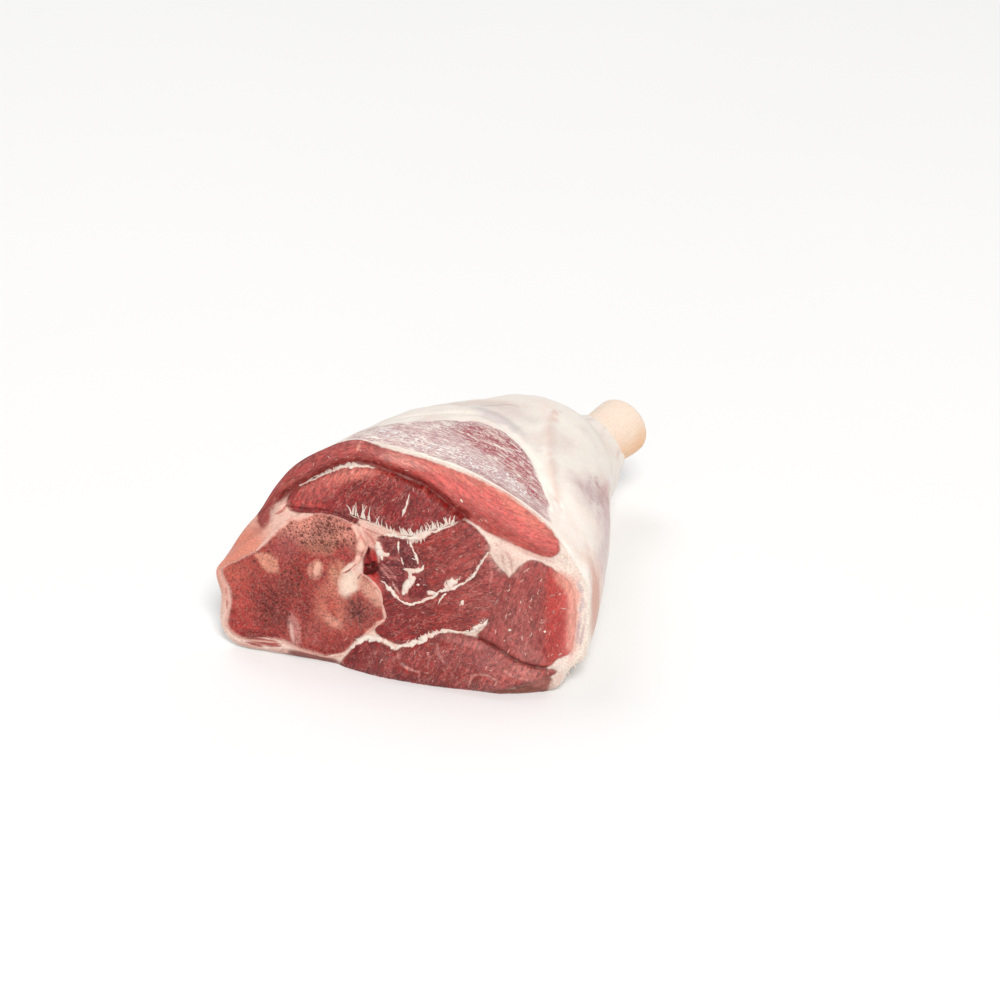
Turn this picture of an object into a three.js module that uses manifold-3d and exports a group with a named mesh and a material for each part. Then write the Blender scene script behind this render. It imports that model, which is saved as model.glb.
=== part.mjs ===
// Shank half of a raw leg of lamb, bone in, lying on its flat underside.
// Millimetres, +Z up. The leg runs along +Y from its cut face to the trimmed shank bone.
import * as THREE from "three";
import { mergeVertices } from "three/addons/utils/BufferGeometryUtils.js";
import Module from "manifold-3d";

const wasm = await Module();
wasm.setup();

// Cut face: its plane turns about Z and leans back from the vertical.
const CUT_TURN = THREE.MathUtils.degToRad(18.7);
const CUT_LEAN = THREE.MathUtils.degToRad(16);
const CUT_CENTRE = { s: -6, t: 33 };
// Bulges and hollows of the cut face are pushed along one slanted direction, at an even depth.
const RELIEF_TURN = THREE.MathUtils.degToRad(33);
const RELIEF_TILT = THREE.MathUtils.degToRad(32.5);

// Outer edge of the cut face, s across and t up on the cut plane, anticlockwise from the right.
const RIM = [
  [51.8, 28], [51.2, 35], [47, 42], [42.3, 48], [36.5, 54.5], [28, 59.8], [16, 65.2], [0, 69.3],
  [-14, 71.3], [-24, 71.6], [-33, 67.5], [-42, 61], [-47, 54.5], [-52, 45.5], [-57, 38.5], [-62.2, 29],
  [-64.8, 24.6], [-62.9, 17], [-62.4, 7], [-57.5, 1.8], [-47, 1], [-36, 0.8], [-26, 0.2], [-14, -1.5],
  [0, -2.6], [16, -2.2], [28, -1.4], [38, 0.6], [44, 3.5], [48, 10.5], [51.7, 14], [52.2, 21],
];

// Relief of the cut face: the cap muscle lies behind a crease, the bottom muscle bulges forward.
const CREASE = [
  [-52, 40], [-46, 50], [-40, 55], [-28, 63], [-20, 65.2], [-12, 63.7], [-4, 61.7], [4, 57.6], [12, 53],
  [22, 47.9], [30, 45.6], [42, 43.3],
];
const CAP = { step: 2.2, stepFrom: -1, stepTo: 4, slope: 4.6, height: 14, groove: 1.6, grooveWidth: 2.2 };
const CAP_SPAN = { left: [-56, -46], right: [49, 32] };
const BOTTOM_BULGE = { depth: 4.4, height: 14 };
const BOTTOM_SPAN = { left: [-28, -8], right: [43, 24] };
const RIM_ROUND = { depth: 2, start: 44, end: 52 };
const LOBE = { depth: 3.4, foot: [-63, 27.5], slope: 0.88, width: 3, fadeFrom: -38, fadeTo: -44 };

// Cross-sections of the leg: place along Y, how far each is drawn back on its trimmed side, centre,
// then radii at equal turns from the right.
const TRIM_TURN = THREE.MathUtils.degToRad(50);
const SECTIONS = [
  { y: 41, trim: 0, x: -5, z: 33, radii: [46, 37, 35, 39.8, 42, 43, 33.5, 46.5] },
  { y: 63, trim: 0, x: -3, z: 30, radii: [33, 32, 32.5, 35, 35.5, 36, 30.5, 34.6] },
  { y: 81.5, trim: 1.2, x: -2, z: 29, radii: [21.6, 25, 27.6, 28.6, 28, 27, 26, 22] },
  { y: 92, trim: 3, x: -1.5, z: 28.5, radii: [16.6, 18.4, 20.8, 21.2, 20.8, 20, 19.4, 17.8] },
  { y: 100, trim: 4.6, x: -1, z: 28, radii: [13.8, 13.6, 14.2, 14.4, 14.4, 14.6, 14.6, 14.4] },
  { y: 105.5, trim: 5.5, x: -0.9, z: 27.9, radii: [11.6, 11.4, 11.6, 11.5, 11.4, 11.6, 11.8, 11.8] },
  { y: 109.5, trim: 6, x: -0.8, z: 27.8, radii: [10.4, 10.4, 10.3, 10.3, 10.4, 10.5, 10.6, 10.5] },
];

// Cut end of the thigh bone: outline on the cut plane, and how it runs in to the knee.
const FEMUR_CENTRE = { s: -38, t: 25 };
const FEMUR_RIM = [
  [-63.2, 25], [-58, 29], [-52, 33.4], [-47, 40.3], [-41, 45.3], [-34, 47.8], [-27, 47.6], [-21, 44.6],
  [-17.4, 40], [-18.6, 35.3], [-21.3, 31], [-17, 29.6], [-13, 26.3], [-11.2, 21.5], [-9.8, 17.6],
  [-13, 13.4], [-18.5, 8.6], [-22.7, 3.8], [-28, 2.3], [-36, 3], [-43, 4.9], [-50, 5], [-56.5, 4],
  [-60.6, 7], [-59.7, 14], [-60.5, 19.5],
];
const FEMUR_DEPTH = 26;
const FEMUR_RUN = new THREE.Vector3(0.42, 1, 0.06).normalize();
const FEMUR_PROUD = 0.4;
const FEMUR_END_SCALE = 0.62;

// Shank bone: shaft radii along its slightly bent axis, from the knee to the sawn stub.
const SHANK_BONE = [
  { y: 30, x: -23, z: 27, radius: 13 },
  { y: 36, x: -20, z: 27.2, radius: 15 },
  { y: 46, x: -15.5, z: 27.5, radius: 13.5 },
  { y: 60, x: -9.5, z: 28, radius: 10.5 },
  { y: 76, x: -4.5, z: 28, radius: 9 },
  { y: 95, x: -1.5, z: 28, radius: 8.8 },
  { y: 110, x: -0.8, z: 27.8, radius: 9.2 },
  { y: 120.4, x: -0.5, z: 27.5, radius: 9.8 },
  { y: 121.6, x: -0.5, z: 27.5, radius: 9.2 },
  { y: 122, x: -0.5, z: 27.5, radius: 8 },
];
const SHANK_RINGS = 12;
// The last stations are the stub's, and the last of those round off its sawn edge.
const STUB_STATIONS = 4;
const STUB_EDGE_STATIONS = 2;

// The bones sit in the meat with a hairline gap, and their pockets open at the two ends.
const GAP = 0.3;
const POCKET_OVERRUN = 12;

// Mesh fineness
const LEG_SIDES = 84;
const FACE_RINGS = 13;
const LEG_RINGS = 20;
const FEMUR_SIDES = 52;
const FEMUR_FACE_RINGS = 2;
const FEMUR_RUN_RINGS = 7;
const SHANK_SIDES = 30;

const LOOKS = {
  meat: { color: 0xb4535a, roughness: 0.42 },
  femur: { color: 0xc46f66, roughness: 0.5 },
  shank_bone: { color: 0xf2cfb4, roughness: 0.45 },
};

// Directions of the cut plane and of its relief.
const ACROSS = new THREE.Vector3(Math.cos(CUT_TURN), Math.sin(CUT_TURN), 0);
const BACK = new THREE.Vector3(-Math.sin(CUT_TURN), Math.cos(CUT_TURN), 0);
const RISE = new THREE.Vector3(0, 0, Math.cos(CUT_LEAN)).addScaledVector(BACK, Math.sin(CUT_LEAN));
const OUT = new THREE.Vector3().crossVectors(ACROSS, RISE);
const RELIEF_WAY = new THREE.Vector3(
  Math.sin(RELIEF_TURN) * Math.cos(RELIEF_TILT),
  -Math.cos(RELIEF_TURN) * Math.cos(RELIEF_TILT),
  Math.sin(RELIEF_TILT),
);
RELIEF_WAY.divideScalar(RELIEF_WAY.dot(OUT));

function smooth(from, to, value) {
  const u = THREE.MathUtils.clamp((value - from) / (to - from), 0, 1);
  return u * u * (3 - 2 * u);
}

// Share of a bulge that is left at a place between its two faded ends.
function span({ left, right }, s) {
  return smooth(left[0], left[1], s) * smooth(right[0], right[1], s);
}

// Cubic curve through [x, y] knots that rise in x; a period joins its two ends.
function curveThrough(knots, period = 0) {
  const all = period
    ? [
        ...knots.slice(-2).map(([x, y]) => [x - period, y]),
        ...knots,
        ...knots.slice(0, 2).map(([x, y]) => [x + period, y]),
      ]
    : knots;
  const slope = all.map((knot, i) => {
    const before = all[Math.max(i - 1, 0)];
    const after = all[Math.min(i + 1, all.length - 1)];
    return (after[1] - before[1]) / (after[0] - before[0]);
  });
  return (value) => {
    let x = value;
    if (period) x = THREE.MathUtils.euclideanModulo(x - knots[0][0], period) + knots[0][0];
    x = THREE.MathUtils.clamp(x, all[0][0], all[all.length - 1][0]);
    let i = 0;
    while (i < all.length - 2 && x > all[i + 1][0]) i += 1;
    const width = all[i + 1][0] - all[i][0];
    const u = (x - all[i][0]) / width;
    return (
      (1 + 2 * u) * (1 - u) ** 2 * all[i][1] +
      u * (1 - u) ** 2 * width * slope[i] +
      u * u * (3 - 2 * u) * all[i + 1][1] +
      u * u * (u - 1) * width * slope[i + 1]
    );
  };
}

// Radius against turn for a closed outline of points round a centre.
function polarOutline(points, centre) {
  const knots = points.map(([s, t]) => [
    Math.atan2(t - centre.t, s - centre.s),
    Math.hypot(t - centre.t, s - centre.s),
  ]);
  knots.sort((a, b) => a[0] - b[0]);
  return curveThrough(knots, 2 * Math.PI);
}

const rimRadius = polarOutline(RIM, CUT_CENTRE);
const femurRadius = polarOutline(FEMUR_RIM, FEMUR_CENTRE);
const creaseHeight = curveThrough(CREASE);
const sectionRadius = SECTIONS.map(({ radii }) =>
  curveThrough(radii.map((radius, i) => [(i * 2 * Math.PI) / radii.length, radius]), 2 * Math.PI),
);

// Depth of the cut face at a place on its plane, outwards positive.
function relief(s, t) {
  const above = t - creaseHeight(s);
  const capWindow = span(CAP_SPAN, s);
  const cap =
    CAP.step * smooth(CAP.stepFrom, CAP.stepTo, above) +
    CAP.slope * smooth(0, CAP.height, above) +
    CAP.groove * Math.exp(-((above / CAP.grooveWidth) ** 2));
  const bottom = BOTTOM_BULGE.depth * smooth(BOTTOM_BULGE.height, 0, t) * span(BOTTOM_SPAN, s);
  const edge = RIM_ROUND.depth * smooth(RIM_ROUND.start, RIM_ROUND.end, s);
  const overLobe = t - LOBE.foot[1] - (s - LOBE.foot[0]) * LOBE.slope;
  const lobeWindow = (1 - capWindow) * smooth(LOBE.fadeFrom, LOBE.fadeTo, s);
  const lobe = LOBE.depth * smooth(0, LOBE.width, overLobe) * lobeWindow;
  return bottom - cap * capWindow - edge - lobe;
}

function facePoint(s, t, height) {
  return new THREE.Vector3()
    .addScaledVector(ACROSS, s)
    .addScaledVector(RISE, t)
    .addScaledVector(RELIEF_WAY, height);
}

function ring(sides, pointAt) {
  return Array.from({ length: sides }, (_, i) => pointAt((i * 2 * Math.PI) / sides));
}

function meanPoint(points) {
  const sum = points.reduce((total, point) => total.add(point), new THREE.Vector3());
  return sum.divideScalar(points.length);
}

// Closed surface through rings of equal count, with a fan at each end.
function closedLoft(rings) {
  const sides = rings[0].length;
  const points = [meanPoint(rings[0]), ...rings.flat(), meanPoint(rings[rings.length - 1])];
  const last = points.length - 1;
  const at = (row, i) => 1 + row * sides + (i % sides);
  const index = [];
  for (let i = 0; i < sides; i++) {
    index.push(0, at(0, i), at(0, i + 1));
    for (let row = 0; row < rings.length - 1; row++) {
      index.push(at(row, i), at(row + 1, i), at(row + 1, i + 1));
      index.push(at(row, i), at(row + 1, i + 1), at(row, i + 1));
    }
    index.push(last, at(rings.length - 1, i + 1), at(rings.length - 1, i));
  }
  return new THREE.BufferGeometry().setFromPoints(points).setIndex(index);
}

// Ring of the cut face at a share of the way from its centre to its rim.
function faceRing(share) {
  return ring(LEG_SIDES, (turn) => {
    const radius = share * rimRadius(turn);
    const s = CUT_CENTRE.s + radius * Math.cos(turn);
    const t = CUT_CENTRE.t + radius * Math.sin(turn);
    return facePoint(s, t, relief(s, t));
  });
}

function sectionRing(index) {
  const { x, y, z, trim } = SECTIONS[index];
  return ring(LEG_SIDES, (turn) => {
    const radius = sectionRadius[index](turn);
    const along = y - trim * Math.cos(turn - TRIM_TURN);
    return new THREE.Vector3(x + radius * Math.cos(turn), along, z + radius * Math.sin(turn));
  });
}

// Rings between the cut's rim and the shank end, on smooth lines through the cross-sections.
function legRings(rim) {
  const stations = [rim, ...SECTIONS.map((_, i) => sectionRing(i))];
  const place = [0];
  for (let k = 1; k < stations.length; k++) {
    const reach = stations[k].map((point, i) => point.distanceTo(stations[k - 1][i]));
    place.push(place[k - 1] + reach.reduce((a, b) => a + b) / LEG_SIDES);
  }
  const length = place[place.length - 1];
  const lines = rim.map((_, i) =>
    ["x", "y", "z"].map((axis) => curveThrough(stations.map((station, k) => [place[k], station[i][axis]]))),
  );
  return Array.from({ length: LEG_RINGS }, (_, row) => {
    const along = (length * (row + 1)) / LEG_RINGS;
    return lines.map(([x, y, z]) => new THREE.Vector3(x(along), y(along), Math.max(z(along), 0)));
  });
}

function buildLeg() {
  const rings = [];
  for (let i = 1; i <= FACE_RINGS; i++) rings.push(faceRing(i / FACE_RINGS));
  const rim = rings[rings.length - 1];
  for (const point of rim) point.z = Math.max(point.z, 0);
  return closedLoft([...rings, ...legRings(rim)]);
}

// Thigh bone from its cut end to its rounded end in the knee, grown all round by a margin.
function buildFemur(margin, overrun) {
  const sectionAt = (share, scale, depth) =>
    ring(FEMUR_SIDES, (turn) => {
      const radius = share * (femurRadius(turn) * scale + margin);
      const s = FEMUR_CENTRE.s + radius * Math.cos(turn);
      const t = FEMUR_CENTRE.t + radius * Math.sin(turn);
      return facePoint(s, t, FEMUR_PROUD).addScaledVector(FEMUR_RUN, depth);
    });
  const rings = [];
  for (let i = 1; i <= FEMUR_FACE_RINGS; i++) rings.push(sectionAt(i / FEMUR_FACE_RINGS, 1, -overrun));
  for (let i = 0; i <= FEMUR_RUN_RINGS; i++) {
    const inward = i / FEMUR_RUN_RINGS;
    const scale = FEMUR_END_SCALE + (1 - FEMUR_END_SCALE) * Math.sqrt(1 - inward ** 2);
    if (i > 0 || overrun > 0) rings.push(sectionAt(1, scale, inward * (FEMUR_DEPTH + margin)));
  }
  return closedLoft(rings);
}

// Shank bone with its knuckle in the knee and its sawn stub in the open, grown by a margin.
function buildShankBone(margin, overrun) {
  const first = SHANK_BONE[0].y;
  const last = SHANK_BONE[SHANK_BONE.length - 1].y;
  const [axisX, axisZ, radiusAt] = ["x", "z", "radius"].map((key) =>
    curveThrough(SHANK_BONE.map((station) => [station.y, station[key]])),
  );
  const stub = SHANK_BONE.slice(-STUB_STATIONS).map((station) => station.y);
  const stubSides = stub.slice(0, -STUB_EDGE_STATIONS);
  const shaft = Array.from(
    { length: SHANK_RINGS },
    (_, i) => first + ((stub[0] - first) * i) / SHANK_RINGS,
  );
  const ringAt = (y, radius, shift) =>
    ring(SHANK_SIDES, (turn) => {
      const reach = radius + margin;
      const x = axisX(y) + reach * Math.cos(turn);
      const z = axisZ(y) + reach * Math.sin(turn);
      return new THREE.Vector3(x, y + shift, z);
    });
  const rings = shaft.map((y) => ringAt(y, radiusAt(y), -margin));
  const ends = overrun > 0 ? stubSides : stub;
  rings.push(...ends.map((y) => ringAt(y, radiusAt(y), 0)));
  if (overrun > 0) rings.push(ringAt(last, radiusAt(stubSides[stubSides.length - 1]), overrun));
  return closedLoft(rings);
}

function toSolid(geometry) {
  const merged = mergeVertices(geometry);
  return new wasm.Manifold(
    new wasm.Mesh({
      numProp: 3,
      vertProperties: merged.attributes.position.array,
      triVerts: new Uint32Array(merged.index.array),
    }),
  );
}

function toGeometry(solid) {
  const { vertProperties, triVerts } = solid.getMesh();
  return new THREE.BufferGeometry()
    .setAttribute("position", new THREE.BufferAttribute(vertProperties, 3))
    .setIndex(new THREE.BufferAttribute(triVerts, 1));
}

function makeMesh(name, geometry) {
  const material = new THREE.MeshStandardMaterial({ ...LOOKS[name], metalness: 0 });
  const mesh = new THREE.Mesh(geometry, material);
  geometry.computeVertexNormals();
  mesh.name = name;
  return mesh;
}

const pocketed = toSolid(buildLeg())
  .subtract(toSolid(buildFemur(GAP, POCKET_OVERRUN)))
  .subtract(toSolid(buildShankBone(GAP, POCKET_OVERRUN)));

const leg = new THREE.Group();
leg.add(makeMesh("meat", toGeometry(pocketed)));
leg.add(makeMesh("femur", buildFemur(0, 0)));
leg.add(makeMesh("shank_bone", buildShankBone(0, 0)));

// The part's origin is under the middle of its box, on the surface that it lies on.
const box = new THREE.Box3().setFromObject(leg, true);
leg.position.set(-(box.min.x + box.max.x) / 2, -(box.min.y + box.max.y) / 2, -box.min.z);

const part = new THREE.Group();
part.add(leg);

export default part;
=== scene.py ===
"""Looks of the shank half of a raw leg of lamb: its cut face, fat cover and two bones."""

import bpy
import numpy as np
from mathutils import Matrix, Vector


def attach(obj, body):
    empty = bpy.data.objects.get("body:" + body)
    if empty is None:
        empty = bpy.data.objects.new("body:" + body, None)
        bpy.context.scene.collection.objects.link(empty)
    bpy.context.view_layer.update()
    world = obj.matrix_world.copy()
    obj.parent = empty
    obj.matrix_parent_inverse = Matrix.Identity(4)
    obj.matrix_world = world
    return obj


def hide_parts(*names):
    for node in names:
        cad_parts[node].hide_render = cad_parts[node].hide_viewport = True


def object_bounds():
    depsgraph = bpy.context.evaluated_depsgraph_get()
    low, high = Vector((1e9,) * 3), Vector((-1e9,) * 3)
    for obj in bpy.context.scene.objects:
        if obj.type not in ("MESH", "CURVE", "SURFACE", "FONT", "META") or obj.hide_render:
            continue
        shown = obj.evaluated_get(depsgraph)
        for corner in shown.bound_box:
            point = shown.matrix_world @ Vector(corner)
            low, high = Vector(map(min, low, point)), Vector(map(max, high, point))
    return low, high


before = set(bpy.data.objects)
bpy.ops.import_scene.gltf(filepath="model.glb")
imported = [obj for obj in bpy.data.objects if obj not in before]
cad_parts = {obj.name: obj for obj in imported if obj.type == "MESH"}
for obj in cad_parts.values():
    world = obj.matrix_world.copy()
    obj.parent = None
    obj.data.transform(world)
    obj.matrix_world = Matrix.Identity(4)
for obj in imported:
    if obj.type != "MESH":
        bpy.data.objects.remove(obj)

CAD_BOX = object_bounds()
MM = 0.001
FULL_TURN = 2 * np.pi
SEED = 41
# Added to divisors, so that none is zero
TINY = 1e-12
TINY_STEP = 1e-9

# Form of the leg in millimetres. s runs across the cut face and t up it, from a point at its foot.
CUT_TURN = np.radians(18.7)
CUT_LEAN = np.radians(16)
CUT_CENTRE = (-6, 33)
RELIEF_TURN = np.radians(33)
RELIEF_TILT = np.radians(32.5)
RIM = [
    (51.8, 28), (51.2, 35), (47, 42), (42.3, 48), (36.5, 54.5), (28, 59.8), (16, 65.2), (0, 69.3),
    (-14, 71.3), (-24, 71.6), (-33, 67.5), (-42, 61), (-47, 54.5), (-52, 45.5), (-57, 38.5), (-62.2, 29),
    (-64.8, 24.6), (-62.9, 17), (-62.4, 7), (-57.5, 1.8), (-47, 1), (-36, 0.8), (-26, 0.2), (-14, -1.5),
    (0, -2.6), (16, -2.2), (28, -1.4), (38, 0.6), (44, 3.5), (48, 10.5), (51.7, 14), (52.2, 21),
]
CREASE = [
    (-52, 40), (-46, 50), (-40, 55), (-28, 63), (-20, 65.2), (-12, 63.7), (-4, 61.7), (4, 57.6), (12, 53),
    (22, 47.9), (30, 45.6), (42, 43.3),
]
# Relief of the cut face: the cap muscle lies behind a crease, the bottom muscle bulges forward.
CAP = dict(step=2.2, step_from=-1, step_to=4, slope=4.6, height=14, groove=1.6, groove_width=2.2)
CAP_SPAN = dict(left=(-56, -46), right=(49, 32))
BOTTOM_BULGE = dict(depth=4.4, height=14)
BOTTOM_SPAN = dict(left=(-28, -8), right=(43, 24))
RIM_ROUND = dict(depth=2, start=44, end=52)
LOBE = dict(depth=3.4, foot=(-63, 27.5), slope=0.88, width=3, fade=(-38, -44))
TRIM_TURN = np.radians(50)
# Each cross-section: place along Y, how far its trimmed side is drawn back, centre x and z, radii.
SECTIONS = [
    (41, 0, -5, 33, (46, 37, 35, 39.8, 42, 43, 33.5, 46.5)),
    (63, 0, -3, 30, (33, 32, 32.5, 35, 35.5, 36, 30.5, 34.6)),
    (81.5, 1.2, -2, 29, (21.6, 25, 27.6, 28.6, 28, 27, 26, 22)),
    (92, 3, -1.5, 28.5, (16.6, 18.4, 20.8, 21.2, 20.8, 20, 19.4, 17.8)),
    (100, 4.6, -1, 28, (13.8, 13.6, 14.2, 14.4, 14.4, 14.6, 14.6, 14.4)),
    (105.5, 5.5, -0.9, 27.9, (11.6, 11.4, 11.6, 11.5, 11.4, 11.6, 11.8, 11.8)),
    (109.5, 6, -0.8, 27.8, (10.4, 10.4, 10.3, 10.3, 10.4, 10.5, 10.6, 10.5)),
]
# Point inside the leg that hidden closing walls lean to
LEG_MIDDLE = np.array([-5, 41, 33])
FEMUR_CENTRE = (-38, 25)
FEMUR_RIM = [
    (-63.2, 25), (-58, 29), (-52, 33.4), (-47, 40.3), (-41, 45.3), (-34, 47.8), (-27, 47.6), (-21, 44.6),
    (-17.4, 40), (-18.6, 35.3), (-21.3, 31), (-17, 29.6), (-13, 26.3), (-11.2, 21.5), (-9.8, 17.6),
    (-13, 13.4), (-18.5, 8.6), (-22.7, 3.8), (-28, 2.3), (-36, 3), (-43, 4.9), (-50, 5), (-56.5, 4),
    (-60.6, 7), (-59.7, 14), (-60.5, 19.5),
]
FEMUR_DEPTH = 26
FEMUR_WAY = np.array([0.42, 1, 0.06])
FEMUR_RUN = FEMUR_WAY / np.linalg.norm(FEMUR_WAY)
FEMUR_PROUD = 0.4
FEMUR_END_SCALE = 0.62
# Each station of the shank bone: y, axis x and z, radius.
SHANK_BONE = [
    (30, -23, 27, 13), (36, -20, 27.2, 15), (46, -15.5, 27.5, 13.5), (60, -9.5, 28, 10.5), (76, -4.5, 28, 9),
    (95, -1.5, 28, 8.8), (110, -0.8, 27.8, 9.2), (120.4, -0.5, 27.5, 9.8), (121.6, -0.5, 27.5, 9.2),
    (122, -0.5, 27.5, 8),
]
STUB_END = SHANK_BONE[-1][0]
# Where the shaft of the shank bone gives way to its stub, and the rows that round off the sawn edge
STUB_START = 98
STUB_EDGE = (121, 121.6, 121.9, STUB_END)

# Camera: where it stands in the leg's frame, and its lens on a 36 mm sensor. It looks against SIGHT.
CAMERA_PLACE = (381.9, -541, 485)
CAMERA_LENS = 97.2

# Mesh fineness
FACE_GRID = 305
COVER_SIDES = 440
COVER_ROWS = 204
FEMUR_GRID = 190
FEMUR_RUN_RINGS = 8
STUB_SIDES = 120
SHAFT_RINGS = 24
STUB_RINGS = 60
SAWN_RINGS = 22
# Sides and rows of the plain leg, from which lengths along it and its shift into the part's frame are read
FORM_SIDES = 84
FORM_ROWS = 120

# Stage: strength of the white surroundings, half the floor's side, and where the lights point, in metres
WORLD_STRENGTH = 0.47
FLOOR_HALF = 4
LIGHT_AIM = (0, 0, 0.03)
# Each light: name, place, size, power and tint.
LIGHTS = [
    ("key", (1.3, -1.25, 2.35), 1.1, 60, (1, 0.985, 0.96)),
    ("fill", (-1.3, 0.7, 2.2), 1.6, 15, (1, 1, 1)),
]


# Number helpers
def smooth(start, end, value):
    u = np.clip((value - start) / (end - start), 0, 1)
    return u * u * (3 - 2 * u)


def curve_through(knots, period=0):
    """Cubic curve through rows of (place, value, ...) that rise in place; a period joins its ends."""
    knots = np.asarray(knots, float)
    x, y = knots[:, 0], knots[:, 1:]
    first = x[0]
    if period:
        x = np.concatenate([x[-2:] - period, x, x[:2] + period])
        y = np.concatenate([y[-2:], y, y[:2]])
    rank = np.arange(len(x))
    before = np.maximum(rank - 1, 0)
    after = np.minimum(rank + 1, len(x) - 1)
    slope = (y[after] - y[before]) / (x[after] - x[before])[:, None]

    def at(value):
        value = np.asarray(value, float)
        if period:
            value = np.mod(value - first, period) + first
        value = np.clip(value, x[0], x[-1])
        i = np.clip(np.searchsorted(x, value) - 1, 0, len(x) - 2)
        width = (x[i + 1] - x[i])[..., None]
        u = (value - x[i])[..., None] / width
        ends = (1 + 2 * u) * (1 - u) ** 2 * y[i] + u * u * (3 - 2 * u) * y[i + 1]
        out = ends + width * (u * (1 - u) ** 2 * slope[i] + u * u * (u - 1) * slope[i + 1])
        return out[..., 0] if out.shape[-1] == 1 else out

    return at


def ridge(distance, width):
    """Share of a rounded ridge or groove at a distance from its line."""
    return np.exp(-((distance / width) ** 2))


def around(centre, radius, turn):
    return centre[0] + radius * np.cos(turn), centre[1] + radius * np.sin(turn)


def oval_place(s, t, centre, reach, angle=0):
    """Places across and up a turned oval, as shares of its reach."""
    c, d = np.cos(np.radians(angle)), np.sin(np.radians(angle))
    u = ((s - centre[0]) * c + (t - centre[1]) * d) / reach[0]
    v = ((t - centre[1]) * c - (s - centre[0]) * d) / reach[1]
    return u, v


def oval(centre, reach, angle):
    """Points round an oval, the last on the first."""
    turn = np.linspace(0, FULL_TURN, 13)
    c, d = np.cos(np.radians(angle)), np.sin(np.radians(angle))
    u, v = reach[0] * np.cos(turn), reach[1] * np.sin(turn)
    return np.stack([centre[0] + u * c - v * d, centre[1] + u * d + v * c], -1).tolist()


def polar_outline(points, centre):
    """Radius against turn for a closed outline round a centre."""
    offset = np.asarray(points, float) - centre
    turn = np.arctan2(offset[:, 1], offset[:, 0])
    order = np.argsort(turn)
    return curve_through(np.column_stack([turn, np.hypot(*offset.T)])[order], FULL_TURN)


def run_length(points):
    """Distance along a row of points, from its first."""
    return np.concatenate([[0], np.cumsum(np.linalg.norm(np.diff(points, axis=0), axis=1))])


def smooth_line(points, closed=False, steps=5):
    """A curve through the points, as a finer row of points."""
    points = np.asarray(points, float)
    if closed:
        points = np.vstack([points, points[:1]])
    place = run_length(points)
    fine = np.linspace(0, place[-1], steps * (len(points) - 1) + 1)
    if not closed:
        return curve_through(np.column_stack([place, points]))(fine)
    return curve_through(np.column_stack([place, points])[:-1], place[-1])(fine)


def line_distance(s, t, line):
    """Distance from each place to a row of points."""
    nearest = np.full(np.shape(s), np.inf)
    for (s0, t0), (s1, t1) in zip(line[:-1], line[1:]):
        ds, dt = s1 - s0, t1 - t0
        share = np.clip(((s - s0) * ds + (t - t0) * dt) / (ds * ds + dt * dt + TINY), 0, 1)
        nearest = np.minimum(nearest, (s - s0 - share * ds) ** 2 + (t - t0 - share * dt) ** 2)
    return np.sqrt(nearest)


def depth_inside(s, t, outline):
    """Distance to a closed outline, positive inside it."""
    line = smooth_line(outline, closed=True)
    inside = np.zeros(np.shape(s), bool)
    for (s0, t0), (s1, t1) in zip(line[:-1], line[1:]):
        crosses = (t0 > t) != (t1 > t)
        inside ^= crosses & (s < s0 + (t - t0) * (s1 - s0) / (t1 - t0 + TINY))
    distance = line_distance(s, t, line)
    return np.where(inside, distance, -distance)


# Odd numbers that stir a cell's place and a seed into a random word, and the bits that are kept
HASH_STEPS = (374761393, 668265263, 1440662683)
HASH_SEED_STEP = 974634777
HASH_MIX = 1274126177
HASH_WORD = 0xFFFFFFFF
HASH_KEPT = 0xFFFFFF


def hashed(cell, seed):
    """Even random numbers from -1 to 1, one for each whole-number cell."""
    mixed = sum(cell[..., axis] * step for axis, step in enumerate(HASH_STEPS)) + seed * HASH_SEED_STEP
    mixed = ((mixed & HASH_WORD) ^ ((mixed & HASH_WORD) >> 13)) * HASH_MIX
    mixed = (mixed & HASH_WORD) ^ ((mixed & HASH_WORD) >> 16)
    return (mixed & HASH_KEPT) / (HASH_KEPT // 2) - 1


def noise(places, size, seed, octaves=1):
    """Smooth noise from -1 to 1 over places (any number of axes up to three), of one grain size."""
    places = np.asarray(places, float)
    full = np.zeros(places.shape[:-1] + (3,))
    full[..., : places.shape[-1]] = places
    total, weight, reach = 0, 1, 0
    for octave in range(octaves):
        scaled = full * (2**octave) / size + 17.3 * octave
        cell = np.floor(scaled).astype(np.int64)
        part = scaled - cell
        part = part * part * (3 - 2 * part)
        value = 0
        for corner in np.ndindex(2, 2, 2):
            share = np.prod(np.where(corner, part, 1 - part), axis=-1)
            value = value + share * hashed(cell + np.array(corner), SEED + seed + 101 * octave)
        total, reach, weight = total + weight * value, reach + weight, weight / 2
    return total / reach


# Light that a wet surface adds to its base colour, and how far noise frays the edge of a tint
SHEEN = 0.024
WASH_FRAY = 0.3


def colour(red, green, blue):
    """Linear base colour that shows as an sRGB one (0 to 255) once a wet surface adds its sheen."""
    srgb = np.array([red, green, blue]) / 255
    linear = np.where(srgb <= 0.04045, srgb / 12.92, ((srgb + 0.055) / 1.055) ** 2.4)
    return np.maximum(linear - SHEEN, 0.004)


def blend(under, over, share):
    return under + (over - under) * np.asarray(share)[..., None]


def washed(tone, s, t, washes, mottle):
    """Lays soft oval tints over a colour: place, reach, turn, colour, share, softness of the edge."""
    for centre, reach, angle, shade, share, soft in washes:
        away = np.hypot(*oval_place(s, t, centre, reach, angle))
        near = smooth(1 + soft, 1 - soft, away + WASH_FRAY * mottle)
        tone = blend(tone, colour(*shade), share * near)
    return tone


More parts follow.
